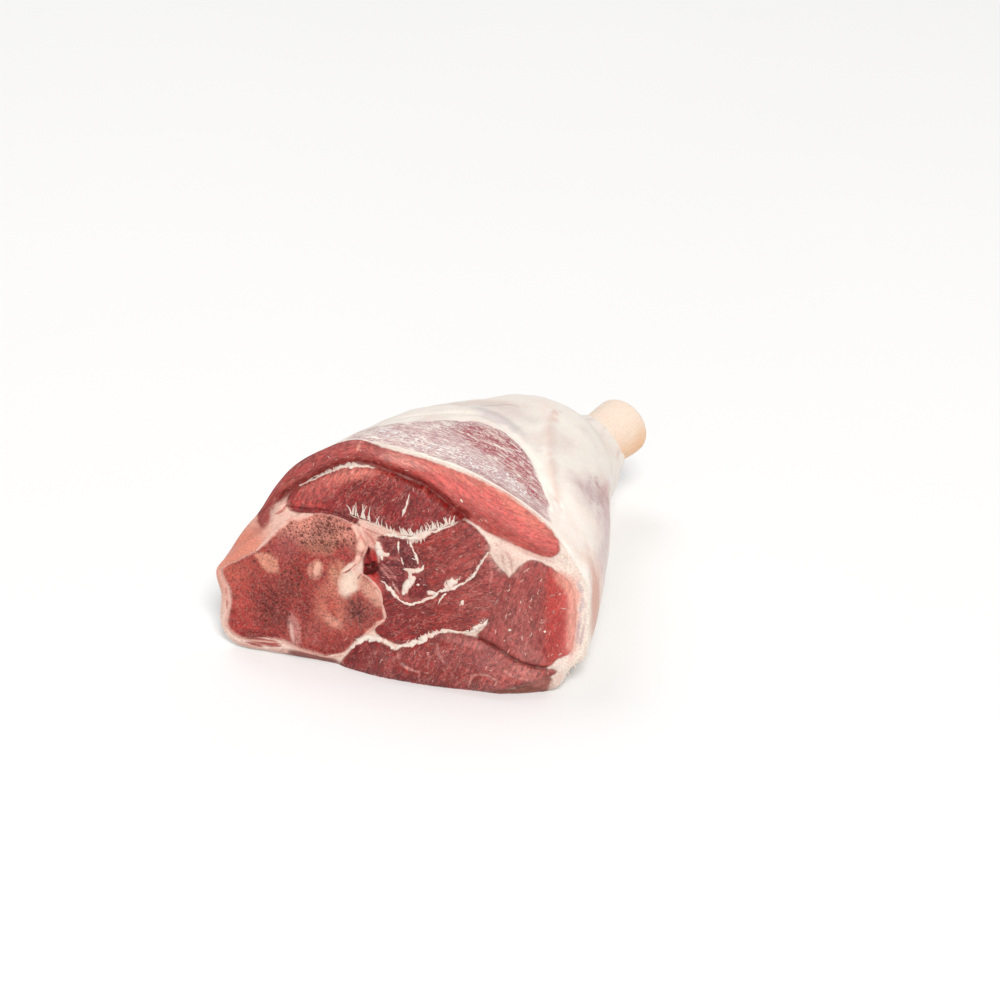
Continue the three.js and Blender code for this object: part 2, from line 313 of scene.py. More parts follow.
def stroked(tone, s, t, strokes, mottle):
    """Lays lines over a colour: points, half width, colour, share."""
    for line, width, shade, share in strokes:
        from_end = np.minimum(*(np.hypot(s - line[i][0], t - line[i][1]) for i in (0, -1)))
        reach = width * (0.3 + 0.7 * smooth(0, 5 * width, from_end)) * (1 + mottle)
        near = smooth(reach * 1.3, reach * 0.2, line_distance(s, t, smooth_line(line)))
        tone = blend(tone, colour(*shade), share * near * smooth(-0.7, 0, mottle))
    return tone


# Directions of the cut plane and of its relief
ACROSS = np.array([np.cos(CUT_TURN), np.sin(CUT_TURN), 0])
BACK = np.array([-np.sin(CUT_TURN), np.cos(CUT_TURN), 0])
RISE = np.cos(CUT_LEAN) * np.array([0, 0, 1]) + np.sin(CUT_LEAN) * BACK
OUT = np.cross(ACROSS, RISE)
SIGHT = np.array([
    np.sin(RELIEF_TURN) * np.cos(RELIEF_TILT),
    -np.cos(RELIEF_TURN) * np.cos(RELIEF_TILT),
    np.sin(RELIEF_TILT),
])
RELIEF_WAY = SIGHT / (SIGHT @ OUT)

rim_radius = polar_outline(RIM, CUT_CENTRE)
femur_radius = polar_outline(FEMUR_RIM, FEMUR_CENTRE)
crease_height = curve_through(CREASE)
section_radius = [
    curve_through([(i * FULL_TURN / len(radii), radius) for i, radius in enumerate(radii)], FULL_TURN)
    for *_, radii in SECTIONS
]

# Palette of the raw meat, as sRGB
PALETTE = {
    # Near-black red painted shade for the inside of the hole
    "hole shade": colour(112, 6, 14),
    # Dark red painted shade for the grooves
    "crease shade": colour(134, 34, 36),
    "maroon": colour(137, 47, 48),
    "lean": colour(144, 55, 52),
    "rose": colour(161, 78, 75),
    "red": colour(186, 74, 69),
    "salmon": colour(212, 102, 96),
    "peach": colour(230, 152, 132),
    "web": colour(224, 144, 134),
    "blush": colour(244, 200, 184),
    "cream": colour(246, 216, 202),
    "fat": colour(247, 230, 217),
    "cover": colour(243, 234, 225),
    "purple": colour(166, 92, 99),
    "lilac": colour(190, 152, 154),
    "shell": colour(212, 150, 134),
    "skin": colour(134, 80, 68),
    "plum": colour(116, 46, 50),
    "blood": colour(152, 14, 20),
    "edge fat": colour(234, 182, 168),
    # Painted shadow on the foot of the cover under the thigh bone
    "shaded cover foot": colour(132, 60, 54),
    "sawn bone": colour(172, 72, 66),
    "bone rim": colour(236, 186, 172),
    "bone inside": colour(96, 18, 20),
    "stub top": colour(236, 216, 199),
    "stub foot": colour(231, 184, 142),
    "hard bone": colour(244, 226, 204),
    "marrow": colour(186, 92, 80),
}
# Base colours that are already linear
# Near-white tone of the cover's painted glints
GLINT_TONE = (0.88, 0.85, 0.84, 1)
PORE_TONE = (0.1, 0.024, 0.016, 1)
FLOOR_TONES = ((0.86, 0.86, 0.86, 1), (0.9, 0.9, 0.9, 1))

# Muscles of the cut face: outline, colours along one direction, swelling, the way of the fibres in degrees,
# how far they are stretched, and the share of fat in their look along the same direction.
# Their edges run down the middle of the fat seams between them.
MUSCLE_DEFAULTS = dict(along=(1, 0), stretch=0.5, calm=[(0, 0)])
MUSCLES = {
    "bed": dict(
        outline=[
            (-14.4, 42.6), (-8, 43.2), (-2.6, 42.6), (1, 44), (8, 38), (8, 24), (-6, 21), (-12, 24),
            (-14.4, 27), (-14, 30), (-13.4, 36), (-14.4, 39),
        ],
        ramp=[(0, "rose")], swell=0, fibres=0, calm=[(0, 0.4)],
    ),
    "pit": dict(
        outline=[
            (-18.4, 34.6), (-17.4, 38.8), (-15.2, 38.2), (-14, 35), (-13.2, 31), (-14.6, 28.6),
            (-17.8, 29.6),
        ],
        ramp=[(0, "blood")], swell=-0.6, fibres=80, calm=[(0, 0.5)],
    ),
    "cap": dict(
        outline=[
            (41.6, 46.3), (39.5, 50.7), (32.4, 56.1), (24.2, 60.6), (16, 64.2), (8, 66.4), (0, 68.3),
            (-10, 69.8), (-18, 71.2), (-24, 74), (-34, 70), (-44, 62), (-50, 54), (-53, 46), (-51, 40),
            (-49, 42), (-48, 47), (-45, 50.6), (-39, 55.8), (-33, 59.9), (-27, 63.6), (-20, 65),
            (-8, 62.8), (0, 60.3), (8, 54.8), (14, 51.3), (22, 47.7), (30, 45.5), (38, 43.5),
        ],
        # The cap runs from darker on its left to bright salmon on its right: partly its own colour, partly
        # painted shade on the left and painted light on the right
        ramp=[(-48, "lean"), (-38, "rose"), (-26, "rose"), (-8, "red"), (6, "salmon")], swell=0.9,
        fibres=-28, stretch=0.4, calm=[(-40, 0.1), (20, 0.35)],
    ),
    "inner": dict(
        outline=[
            (-43.4, 50.4), (-40, 54.6), (-32, 59.8), (-26, 62.4), (-20, 63.6), (-14, 63.7), (-8, 62.4),
            (0, 59.9), (4, 57.4), (12, 52.4), (9, 50), (4, 47.4), (0, 45.4), (-4, 44), (-12, 45.9),
            (-20, 47.2), (-22, 45.5), (-28, 46.6), (-36, 46.6), (-42, 47),
        ],
        along=(0.25, 0.97), ramp=[(44, "maroon"), (50, "maroon"), (57, "lean")], swell=1.5, fibres=60,
    ),
    "upper": dict(
        outline=[
            (-3, 41.2), (-1.5, 43.2), (2, 45.9), (6, 48), (9, 49.8), (11, 51.6), (13, 51), (16, 49.2),
            (20.5, 44), (18.5, 40), (17.3, 37.5), (16, 34.8), (12, 31.2), (7, 28.8), (4, 27.6),
            (1.7, 29.4), (0.6, 33), (-1.5, 38),
        ],
        ramp=[(-2, "lean"), (24, "rose")], swell=0.8, fibres=35,
    ),
    "middle": dict(
        outline=[
            (-12.4, 25.4), (-8.4, 24.9), (-6.4, 23.5), (-4, 22.7), (-1, 23.3), (4.4, 26.4), (8, 28.9),
            (12, 31), (16, 34.6), (18.5, 39.8), (20, 42), (22.6, 39.2), (26.8, 35.2), (25.6, 31),
            (23.2, 27), (22.8, 22), (19, 18.8), (16, 16.5), (8, 16), (4, 14), (0, 11.3), (-4, 9.6),
            (-9, 10.2), (-13.4, 12.4), (-12, 17.6),
        ],
        along=(1, 0.4), ramp=[(0, "maroon"), (14, "lean"), (34, "rose")], swell=0.7, fibres=20,
    ),
    "right": dict(
        outline=[
            (26.6, 35.2), (29, 38.6), (31.6, 41.2), (34, 42.1), (40, 40.2), (45.4, 36.2), (47.6, 30),
            (47.8, 22), (47, 15), (43.4, 12.4), (40.5, 9.2), (36, 9), (30, 10.5), (24, 13.3),
            (18.2, 15.7), (19.6, 18.2), (21.8, 21), (22.2, 24), (25, 31),
        ],
        ramp=[(24, "rose"), (38, "rose"), (40, "red"), (43, "red"), (46, "salmon")],
        swell=0.9, fibres=75, calm=[(34, 0.1), (46, 0.6)],
    ),
    "bottom": dict(
        outline=[
            (-21, 5), (-18, 8.6), (-13, 9.6), (-9, 8.6), (-6.6, 7.6), (-4, 9.1), (0, 10.9), (4, 13.6),
            (8, 15.5), (14, 15.8), (18.6, 15.4), (24, 13), (30, 10.1), (36, 8.8), (40, 8.9), (43.6, 8.4),
            (41, 6), (36, 3.6), (30, 0.9), (24, -0.8), (16, -2.6), (0, -6), (-16, -5), (-24, -1),
        ],
        along=(1, 0.2), ramp=[(-14, "maroon"), (4, "lean"), (26, "rose")], swell=1.2, fibres=65,
    ),
    "flap": dict(
        outline=[
            (18, -2), (24, -0.6), (30, 1.1), (36, 3.8), (41.4, 6.4), (42.4, 3), (38, -2), (28, -5),
            (18, -6),
        ],
        ramp=[(18, "lean"), (26, "skin")], swell=0.4, fibres=20, calm=[(0, 0.7)],
    ),
    "lobe_a": dict(
        outline=[
            (-13.8, 42.6), (-11, 43.2), (-8.4, 42.8), (-8, 39.5), (-8.8, 37.2), (-10.4, 37.2),
            (-12, 39.6),
        ],
        ramp=[(0, "plum")], swell=0.6, fibres=40,
    ),
    "lobe_b": dict(
        outline=[
            (-7.5, 42.5), (-5, 42.2), (-3.4, 40), (-2.2, 37.4), (-1.6, 34.8), (-5, 33.9), (-6.6, 36),
            (-7.4, 39),
        ],
        ramp=[(0, "plum")], swell=0.6, fibres=-40,
    ),
    "lobe_c": dict(
        outline=[
            (-13.6, 34.5), (-10.5, 36), (-7, 35.6), (-5.6, 33.6), (-5.2, 30), (-6, 26.6), (-8.5, 26.4),
            (-11.5, 28), (-13.8, 31),
        ],
        ramp=[(0, "plum")], swell=0.6, fibres=10,
    ),
    "lobe_d": dict(
        outline=[
            (-3, 30.2), (-0.5, 32), (1.6, 31), (2, 28), (1, 25.6), (-1.4, 24.6), (-3.8, 25),
            (-3.4, 27.6),
        ],
        ramp=[(0, "maroon")], swell=0.6, fibres=70,
    ),
}
SWELL_REACH = 2.2
# Step in depth between the grains of two muscles, so that they share none
GRAIN_STEP = 7.0
# Places of the cut face where the tone of its fat is known
FAT_TONES = [
    ((26, 42), "cream"), ((49, 28), "fat"), ((-16, 45), "blush"), ((-45, 47), "blush"), ((-57, 33), "peach"),
    ((-12, 66), "fat"), ((30, 57), "fat"), ((-50, 2), "cream"), ((43, 8), "fat"), ((10, 65), "fat"),
    ((-6, 28), "cream"), ((10, 14), "cream"),
]
# Grooves of the cut face: points, half width, depth and share of dark red painted shade in them.
GROOVES = [
    ([(-46, 50.2), (-40, 55.4), (-32, 60.8), (-26, 64.2), (-20, 65), (-12, 63.8), (-4, 61.8), (2, 59),
      (8, 54.8), (12.4, 52.6)], 1.3, 1.4, 0.85),
    ([(19, 15.2), (24, 13.2), (30, 10.3), (36, 8.9), (40, 9.1)], 0.4, 1, 0.8),
    ([(-43, 48.2), (-38, 48), (-33, 48.5), (-28, 48.2), (-23, 46.6), (-20.4, 45.4)], 0.4, 0.7, 0.6),
    ([(-16, 33), (-17, 36), (-17, 38.4)], 0.4, 1, 0.8),
    ([(-12.6, 53.6), (-4, 50.4), (3, 52)], 1.6, 0.3, 0),
]
# Soft tints of the cut face, some of them painted light and shade as marked: place, reach, turn, colour,
# share, softness of the edge.
FACE_WASHES = [
    ((-33, 62.6), (12, 1.8), 36, (166, 76, 74), 0.7, 0.6),
    ((-28, 67), (8, 2.4), 20, (184, 88, 84), 0.6, 0.6),
    # Lighter band along the cap's upper edge: painted highlight where the cap faces up into the light
    ((-9, 67.4), (10, 1.7), -8, (224, 154, 142), 0.75, 0.6),
    ((-50, 45), (2.5, 6), -20, (176, 76, 72), 0.6, 0.5),
    ((-18, 68), (4, 2), 10, (168, 70, 66), 0.7, 0.5),
    # Lighter bands along the upper edge of the cap's right part: painted highlight
    ((12, 64.2), (16, 1.5), -14, (226, 132, 116), 0.6, 0.6),
    ((31, 55.6), (11, 1.9), -33, (228, 134, 116), 0.6, 0.6),
    # Darker bands along the lower side of the cap's right part, above the crease: painted shade
    ((12, 55.8), (15, 1.8), -29, (176, 74, 70), 0.6, 0.6),
    ((22, 50.6), (15, 2.4), -24, (170, 70, 64), 0.8, 0.6),
    # Lighter band along the upper rim of the inner muscle: painted highlight where it bulges up into the
    # light
    ((-28, 59.4), (15, 2.2), 19, (226, 128, 114), 0.95, 0.6),
    ((-22, 54.4), (12, 3), 6, (136, 38, 42), 0.9, 0.6),
    ((-34, 55), (8, 4), 30, (190, 94, 88), 0.7, 0.6),
    # Red band along the top of the thigh bone: painted shadow where the inner muscle overhangs it
    ((-36, 49.6), (7, 1), 3, (190, 70, 66), 0.7, 0.5),
    ((-2, 53), (8, 4), -20, (146, 64, 64), 0.5, 0.6),
    ((41.6, 24), (2.6, 10), 2, (184, 66, 64), 0.5, 0.7),
    ((44.6, 36), (5, 2), -45, (236, 164, 146), 0.8, 0.6),
    ((47, 26), (1.8, 11), 2, (240, 172, 156), 0.85, 0.6),
    ((31, 20), (6, 8), 10, (168, 94, 90), 0.6, 0.6),
    ((35, 12.4), (6, 2.4), -20, (180, 112, 108), 0.6, 0.6),
    ((34, 6.4), (7, 2.4), -22, (186, 116, 108), 0.65, 0.6),
    # Darker band along the foot of the face: painted shade where it curves under
    ((-2, -1.6), (20, 1.6), 0, (112, 44, 42), 0.6, 0.6),
    ((12, 2), (9, 2.4), 0, (132, 54, 50), 0.7, 0.6),
    ((14, 13.4), (8, 1.4), -5, (186, 116, 110), 0.6, 0.6),
    ((24, 8), (6, 3), -20, (176, 100, 94), 0.4, 0.6),
    ((-12, 4), (6, 4), 0, (140, 66, 64), 0.6, 0.6),
    ((43.4, 5), (1.3, 4), -20, (236, 208, 194), 0.95, 0.3),
    ((-15, 35.8), (1.3, 2.6), 10, (186, 44, 44), 0.9, 0.5),
    ((-14.6, 29.4), (1.6, 1.6), 0, (190, 50, 50), 0.8, 0.5),
    ((-16.6, 41.4), (2.4, 3), 20, (226, 158, 144), 0.7, 0.6),
    ((-49.4, 4), (6.6, 1.1), -2, (160, 54, 50), 0.9, 0.3),
    # Dark red-brown strip under the thigh bone: painted shadow where it meets the floor
    ((-33, 1.2), (10, 1.5), -3, (122, 54, 50), 0.9, 0.4),
    ((-15.4, 27.6), (1.6, 3.4), 40, (214, 92, 88), 0.7, 0.5),
    ((-45.4, 46.4), (2.6, 3.4), -30, (240, 196, 180), 0.8, 0.4),
    ((-57, 33), (8, 3), 50, (226, 140, 118), 0.6, 0.6),
    ((25, 42), (5, 4), -40, (246, 214, 200), 0.6, 0.6),
]
# Lines on the cut face: points, half width, colour, share.
FACE_STROKES = [
    ([(-61, 5), (-58, 2.6), (-53, 1.4), (-47, 1.2), (-41, 1.8)], 1.3, (222, 178, 166), 1),
    ([(-54, 2.8), (-49, 2.4), (-43, 3.2)], 0.6, (158, 56, 52), 0.9),
    ([(-57, 3.6), (-50, 3.8), (-43, 4.3)], 0.3, (232, 184, 168), 0.9),
    ([(-43, 4.6), (-36, 2.7), (-28, 2), (-23, 3.4)], 0.25, (232, 180, 166), 0.9),
    ([(-61.4, 20), (-60.9, 16), (-60.8, 12.4)], 0.5, (158, 66, 62), 0.8),
    ([(47.6, 38), (49.2, 33), (49.4, 27), (49, 21)], 0.8, (206, 180, 182), 0.7),
    ([(50.4, 31), (50.6, 25), (49.8, 17)], 0.6, (198, 168, 172), 0.7),
    ([(48.8, 25), (48.6, 18), (47, 12.8)], 0.7, (194, 160, 162), 0.6),
    ([(22, 45.6), (26.4, 42), (27.6, 37)], 0.5, (206, 160, 146), 0.6),
    ([(24, 44.8), (24.6, 40), (26.2, 36.6)], 0.4, (208, 164, 152), 0.6),
    ([(29, 44.6), (34, 43.4), (40, 42.2)], 0.5, (222, 180, 166), 0.6),
    ([(-21.6, 71.6), (-22.6, 67.6)], 0.6, (222, 150, 132), 0.9),
    ([(-6.6, 50.4), (-6, 53), (-5.2, 57)], 0.6, (204, 138, 130), 0.8),
    ([(-6, 7), (-5, 4.5), (-2, 2.5), (4, 2)], 0.5, (206, 146, 138), 0.8),
    ([(16.6, -0.5), (18, 3.5), (22, 4.2), (25, 3), (24.6, 0)], 0.5, (204, 142, 132), 0.8),
    ([(6, 12), (7, 8), (11, 4.6)], 0.5, (196, 128, 122), 0.7),
    ([(24, 9.5), (29, 5.4), (36, 4.2)], 0.5, (200, 134, 126), 0.7),
    ([(35.6, 27), (36, 23), (37.6, 17), (40.6, 11.6)], 0.6, (136, 54, 54), 0.7),
    ([(20.4, 40), (21.4, 36), (21, 32)], 0.4, (196, 120, 114), 0.7),
    ([(-47, 45), (-44.6, 46.4), (-43, 49)], 0.4, (190, 96, 84), 0.8),
    ([(-20.6, 45.2), (-15, 43.6), (-9, 43.2)], 0.35, (196, 96, 90), 0.7),
    ([(-19, 44), (-16, 41.6), (-15, 39)], 0.35, (200, 100, 92), 0.7),
    ([(-18.6, 41), (-16.8, 38.6)], 0.4, (170, 50, 50), 0.8),
    ([(-16.4, 38.6), (-17.4, 36.4), (-18.2, 34.2)], 0.5, (104, 14, 20), 0.9),
    ([(-18.2, 33), (-16.4, 33.2), (-14.2, 32)], 0.6, (112, 8, 16), 0.9),
    ([(-14.6, 29), (-13, 27.2), (-11, 24.6)], 0.5, (200, 84, 80), 0.8),
    ([(-50, 40), (-48.6, 44), (-47, 48.6)], 0.5, (196, 104, 92), 0.7),
    ([(-13.6, 33.6), (-11, 31.2), (-9, 29)], 0.3, (208, 142, 136), 0.9),
    ([(-12.6, 34.4), (-9.6, 32), (-7.4, 29.4)], 0.28, (202, 136, 130), 0.9),
    ([(-9.2, 29.4), (-8, 27.4), (-6.6, 25.6)], 0.35, (216, 160, 150), 0.9),
    ([(-11, 34.8), (-8.6, 36.6), (-7, 36)], 0.28, (206, 146, 140), 0.9),
]
# Soft bulges of the cut face: place, reach, turn and height.
BULGES = [
    ((-45.6, 46.6), (2.2, 3), -30, 1.3),
    ((-41, 60), (6, 2.4), 42, 0.5),
    ((25, 42.4), (4, 2.4), -35, 0.6),
    ((43.6, 6), (1.6, 4), -20, 0.8),
    ((22, 6), (9, 4), -10, 0.5),
    ((-34, 54.6), (6, 2.6), 28, 0.5),
]
HOLE = dict(centre=(-15.6, 32.4), reach=(1.8, 2.1), depth=2.2, wobble=0.9, wobble_size=1.1)

# Fat seams of the cut face: points, and widths at even steps along them.
SEAMS = [
    ([(5, 27.5), (7, 28.8), (10, 30), (12, 31.2), (14, 32.7), (16, 34.8), (17.3, 37.5), (18.5, 40),
      (20.2, 42.8)],
     (0.8, 1.5, 1.4, 0.9, 0.7, 0.8, 0.7, 0.5)),
    ([(7.2, 29.6), (9.2, 31), (11.2, 31.8)], (1.6, 2.6, 1.4)),
    ([(5.6, 24), (6.2, 25.8), (8, 28)], (0.3, 0.6, 0.9)),
    ([(-7, 7.8), (-4, 9.5), (0, 11.2), (4, 14), (8, 15.9), (13, 16.2), (16, 16.4)],
     (1.3, 1.5, 1.9, 1.4, 1.2, 0.8, 0.6)),
    ([(15.5, 16.2), (18, 17.9), (20, 20), (21.4, 21.6)], (0.6, 2, 1.7, 0.6)),
    ([(-24, 48.4), (-20, 47.2), (-16, 46.3), (-12, 45.2), (-8, 44)], (0.2, 0.3, 0.3, 0.5, 0.8)),
    ([(-7.4, 43.6), (-3, 43.8), (0, 45.2), (4, 47.2), (9, 49.8)], (0.9, 1.8, 1.5, 0.9, 0.5)),
    ([(-13, 43.2), (-10, 43.6), (-6, 43.2)], (0.6, 0.9, 0.9)),
    ([(-14.8, 41), (-13.8, 39), (-12.8, 37.2), (-11.4, 37.4), (-10.4, 38)], (1.4, 2.4, 2.2, 1.4, 0.6)),
    ([(-13, 37), (-12.6, 35.2)], (1.4, 0.5)),
    ([(-7.9, 42.2), (-7.8, 40), (-7.5, 38)], (0.5, 0.7, 0.4)),
    ([(-6.8, 37.4), (-5.8, 34.6)], (0.4, 0.6)),
    ([(-4.6, 42.4), (-2.4, 38.6), (-1.4, 35.6)], (0.9, 0.7, 0.8)),
    ([(-3.6, 37.2), (-1.8, 37)], (0.3, 0.6)),
    ([(-6, 33.6), (-3, 33.4), (-0.6, 33.8), (0.5, 35.8)], (0.8, 1.6, 1.8, 0.8)),
    ([(-4.4, 33.4), (-3.4, 31), (-4, 28.6), (-5, 26.6), (-5.8, 25.4)], (1.2, 2.2, 2.5, 2.4, 1)),
    ([(-1.6, 29.1), (-0.5, 29.3)], (0.7, 0.7)),
    ([(-12.6, 29), (-11.6, 28.4), (-10, 27), (-8.4, 25.4), (-6.6, 23.9)], (0.3, 0.8, 1.3, 1.2, 1)),
    ([(-8, 25.2), (-6.6, 23.8), (-4, 22.8), (-1, 23.4), (2, 25), (5.2, 27)], (0.9, 1, 0.9, 0.9, 1.1, 1)),
    ([(1.6, 27.4), (3, 27), (5.6, 27.4)], (0.8, 2.8, 0.8)),
    ([(-21, 6), (-17, 9.4), (-13, 10.4), (-10, 9.6), (-7, 8)], (0.8, 2, 2.2, 1.6, 1.3)),
    ([(-16.4, 63.7), (-20, 64), (-24, 63.7), (-27, 62.8), (-30, 61.3), (-34, 58.8), (-40, 55)],
     (0.5, 1, 1.7, 1.4, 1, 0.8, 0.5)),
    ([(12, 24.6), (12.8, 25.6), (13.6, 26.6)], (0.5, 1.4, 0.5)),
    ([(27.4, 19.2), (28.6, 19.6)], (0.9, 0.9)),
    ([(38.2, 20.2), (39.2, 20.4)], (0.8, 0.8)),
    ([(10.2, 58), (11, 56.8)], (0.4, 0.7)),
    ([(-7.2, 49.6), (-6.6, 51.8), (-6, 54), (-5.3, 57.6)], (0.3, 1.1, 0.5, 0.25)),
]
# Tufts of fat fibres: foot line, how many, lengths, way in degrees, spread of ways, half width.
TUFTS = [
    ([(-23.4, 48), (-20, 47.2), (-16.5, 46.4)], 13, (2.4, 5.6), 97, 9, 0.3),
    ([(-16, 46.2), (-12, 45.2), (-9, 44.2)], 6, (1.4, 3.4), 96, 12, 0.32),
    ([(-7, 43.8), (-2, 44.4), (2, 46.4), (9, 49.8)], 44, (1.2, 3.2), 108, 14, 0.36),
    ([(-5.6, 42.8), (-2, 43), (0, 44.6)], 9, (0.6, 1.6), 280, 25, 0.28),
    ([(7, 30.2), (9, 31.8), (11.6, 32.4)], 11, (0.6, 1.6), 98, 28, 0.34),
    ([(-4, 9.8), (0, 11.6), (4, 14.4), (9, 16.2)], 16, (0.5, 1.5), 115, 26, 0.32),
    ([(13.5, 32.6), (16, 35.2), (18, 39.6)], 12, (0.3, 0.9), 150, 30, 0.26),
    ([(15, 16.4), (18, 18.4), (20.6, 21.4)], 11, (0.4, 1.2), 130, 26, 0.3),
    ([(-19, 7.8), (-16, 10), (-12, 10.8)], 11, (0.6, 2), 60, 40, 0.3),
    ([(-14, 39), (-12.6, 37)], 8, (0.6, 1.6), 20, 50, 0.3),
    ([(-4.2, 32), (-4, 28)], 8, (0.5, 1.4), 0, 60, 0.3),
    ([(51.4, 19), (51, 14.4), (47.6, 10.8), (44.2, 4.6)], 16, (0.8, 2.4), -60, 35, 0.26),
]
# Pale flecks on the muscles: partly fat marbling, partly painted glints
FLECK_SPOTS = 1500
# Of the spots that fall in a muscle, every so many carries a fleck.
FLECK_STEP = {"right": 3, "bottom": 4, "cap": 4}
FLECK_STEP_ELSEWHERE = 8
FLECK_SIZE = {"right": 1.35}
FLECK_AREA = ((-50, -2), (48, 70))
FLECK_LENGTHS = (0.4, 1.5)
FLECK_HALVES = (0.06, 0.17)
FLECK_RISE = 0.07

# The face sinks at its rim, at its foot and behind the thigh bone.
RIM_DROP = 0.7
RIM_DROP_WIDTH = 1.4
FOOT_DROP = 1.8
FOOT_DROP_WIDTH = 6
FOOT_DROP_UP = (14, 4)
FOOT_DROP_ACROSS = (-24, -10)
BONE_POCKET = 3
# Rows of the closing walls behind the faces that show, as shares of the way to a middle point
FACE_SKIRT = (0.06, 0.2)
COVER_FRONT_WALL = (0.08, 0.24)
COVER_BACK_WALL = (0.1, 0.2)
# Lumps of the cover by height and grain size, how far the cut's rim blends into it, and its frayed far end
COVER_LUMPS = (0.45, 10)
COVER_WRINKLES = (0.22, 3)
RIM_BLEND = 5
FRAY = 0.5
FRAY_LENGTH = 3
# Marrow of the shank bone: where its edge lies as a share of the radius, and how deep it is sunk
MARROW_EDGE = (0.66, 0.56)
MARROW_DEPTH = 0.8
# Difference between the dark and light specks of each bone
FEMUR_CONTRAST = 0.68
SHANK_CONTRAST = 0.03


# The form of the leg
def span(ends, s):
    """Share of a bulge that is left between its two faded ends."""
    return smooth(*ends["left"], s) * smooth(*ends["right"], s)


def relief(s, t):
    """Main bulges and hollows of the cut face, outwards positive."""
    above = t - crease_height(s)
    cap_span = span(CAP_SPAN, s)
    cap = CAP["step"] * smooth(CAP["step_from"], CAP["step_to"], above)
    cap = cap + CAP["slope"] * smooth(0, CAP["height"], above)
    cap = cap + CAP["groove"] * ridge(above, CAP["groove_width"])
    bottom = BOTTOM_BULGE["depth"] * smooth(BOTTOM_BULGE["height"], 0, t) * span(BOTTOM_SPAN, s)
    edge = RIM_ROUND["depth"] * smooth(RIM_ROUND["start"], RIM_ROUND["end"], s)
    over_lobe = t - LOBE["foot"][1] - (s - LOBE["foot"][0]) * LOBE["slope"]
    lobe = LOBE["depth"] * smooth(0, LOBE["width"], over_lobe) * (1 - cap_span) * smooth(*LOBE["fade"], s)
    return bottom - cap * cap_span - edge - lobe


def face_point(s, t, height):
    s, t, height = (np.asarray(value, float)[..., None] for value in (s, t, height))
    return s * ACROSS + t * RISE + height * RELIEF_WAY


def outline_inset(s, t, centre, radius_at):
    """Distance inside an outline, along the ray from its middle."""
    turn = np.arctan2(t - centre[1], s - centre[0])
    return radius_at(turn) - np.hypot(t - centre[1], s - centre[0])


def femur_inset(s, t):
    return outline_inset(s, t, FEMUR_CENTRE, femur_radius)


def rim_inset(s, t):
    return outline_inset(s, t, CUT_CENTRE, rim_radius)


def muscle_depths(s, t):
    ragged = 0.3 * noise(np.stack([s, t], -1), 1.4, 5, 2)
    return {name: depth_inside(s, t, muscle["outline"]) + ragged for name, muscle in MUSCLES.items()}


def hole_share(s, t):
    wobble = HOLE["wobble"] * noise(np.stack([s, t], -1), HOLE["wobble_size"], 9, 2)
    return smooth(1.25, 0.55, np.hypot(*oval_place(s, t, HOLE["centre"], HOLE["reach"])) + wobble)


def face_height(s, t, depths):
    """Full relief of the cut face."""
    places = np.stack([s, t], -1)
    height = relief(s, t)
    for name, depth in depths.items():
        height = height + MUSCLES[name]["swell"] * (1 - np.exp(-np.maximum(depth, 0) / SWELL_REACH))
    for line, width, depth, _ in GROOVES:
        distance = line_distance(s, t, smooth_line(line))
        height = height - depth * ridge(distance, width)
    for centre, reach, angle, rise in BULGES:
        u, v = oval_place(s, t, centre, reach, angle)
        height = height + rise * np.exp(-u * u - v * v)
    height = height - HOLE["depth"] * hole_share(s, t)
    height = height + 0.2 * noise(places, 3.2, 1, 2) + 0.1 * noise(places, 0.9, 2)
    height = height - BONE_POCKET * smooth(0.5, 1.3, femur_inset(s, t))
    inset = rim_inset(s, t)
    foot = smooth(*FOOT_DROP_UP, t) * smooth(*FOOT_DROP_ACROSS, s)
    height = height - FOOT_DROP * (1 - smooth(0, FOOT_DROP_WIDTH, inset)) * foot
    return height - RIM_DROP * (1 - smooth(0, RIM_DROP_WIDTH, inset))


def rim_places(turn):
    return around(CUT_CENTRE, rim_radius(turn), turn)


def on_floor(points):
    points[..., 2] = np.maximum(points[..., 2], 0)
    return points


def stations(turn):
    """Rings of points: the cut's rim, then each cross-section."""
    s, t = rim_places(turn)
    rows = [on_floor(face_point(s, t, relief(s, t)))]
    for (y, trim, x, z, _), radius_at in zip(SECTIONS, section_radius):
        radius = radius_at(turn)
        along = y - trim * np.cos(turn - TRIM_TURN)
        rows.append(np.stack([x + radius * np.cos(turn), along, z + radius * np.sin(turn)], -1))
    return np.stack(rows)


FORM_TURNS = np.arange(FORM_SIDES) * FULL_TURN / FORM_SIDES


def station_places():
    """Mean distance along the leg's side from the cut's rim to each station."""
    gaps = np.linalg.norm(np.diff(stations(FORM_TURNS), axis=0), axis=-1).mean(1)
    return np.concatenate([[0], np.cumsum(gaps)])


PLACE = station_places()


def leg_points(turn, along):
    """Grid of points on the leg's side: rows along it, columns round it."""
    rows = stations(turn)
    flat = curve_through(np.column_stack([PLACE, rows.reshape(len(rows), -1)]))
    return flat(along).reshape(len(along), len(turn), 3)


# The part's own frame lies under the middle of its box.
OUTER = leg_points(FORM_TURNS, np.linspace(0, PLACE[-1], FORM_ROWS))
SHIFT = np.array([CAD_BOX[0].x / MM - OUTER[..., 0].min(), CAD_BOX[1].y / MM - STUB_END, 0])


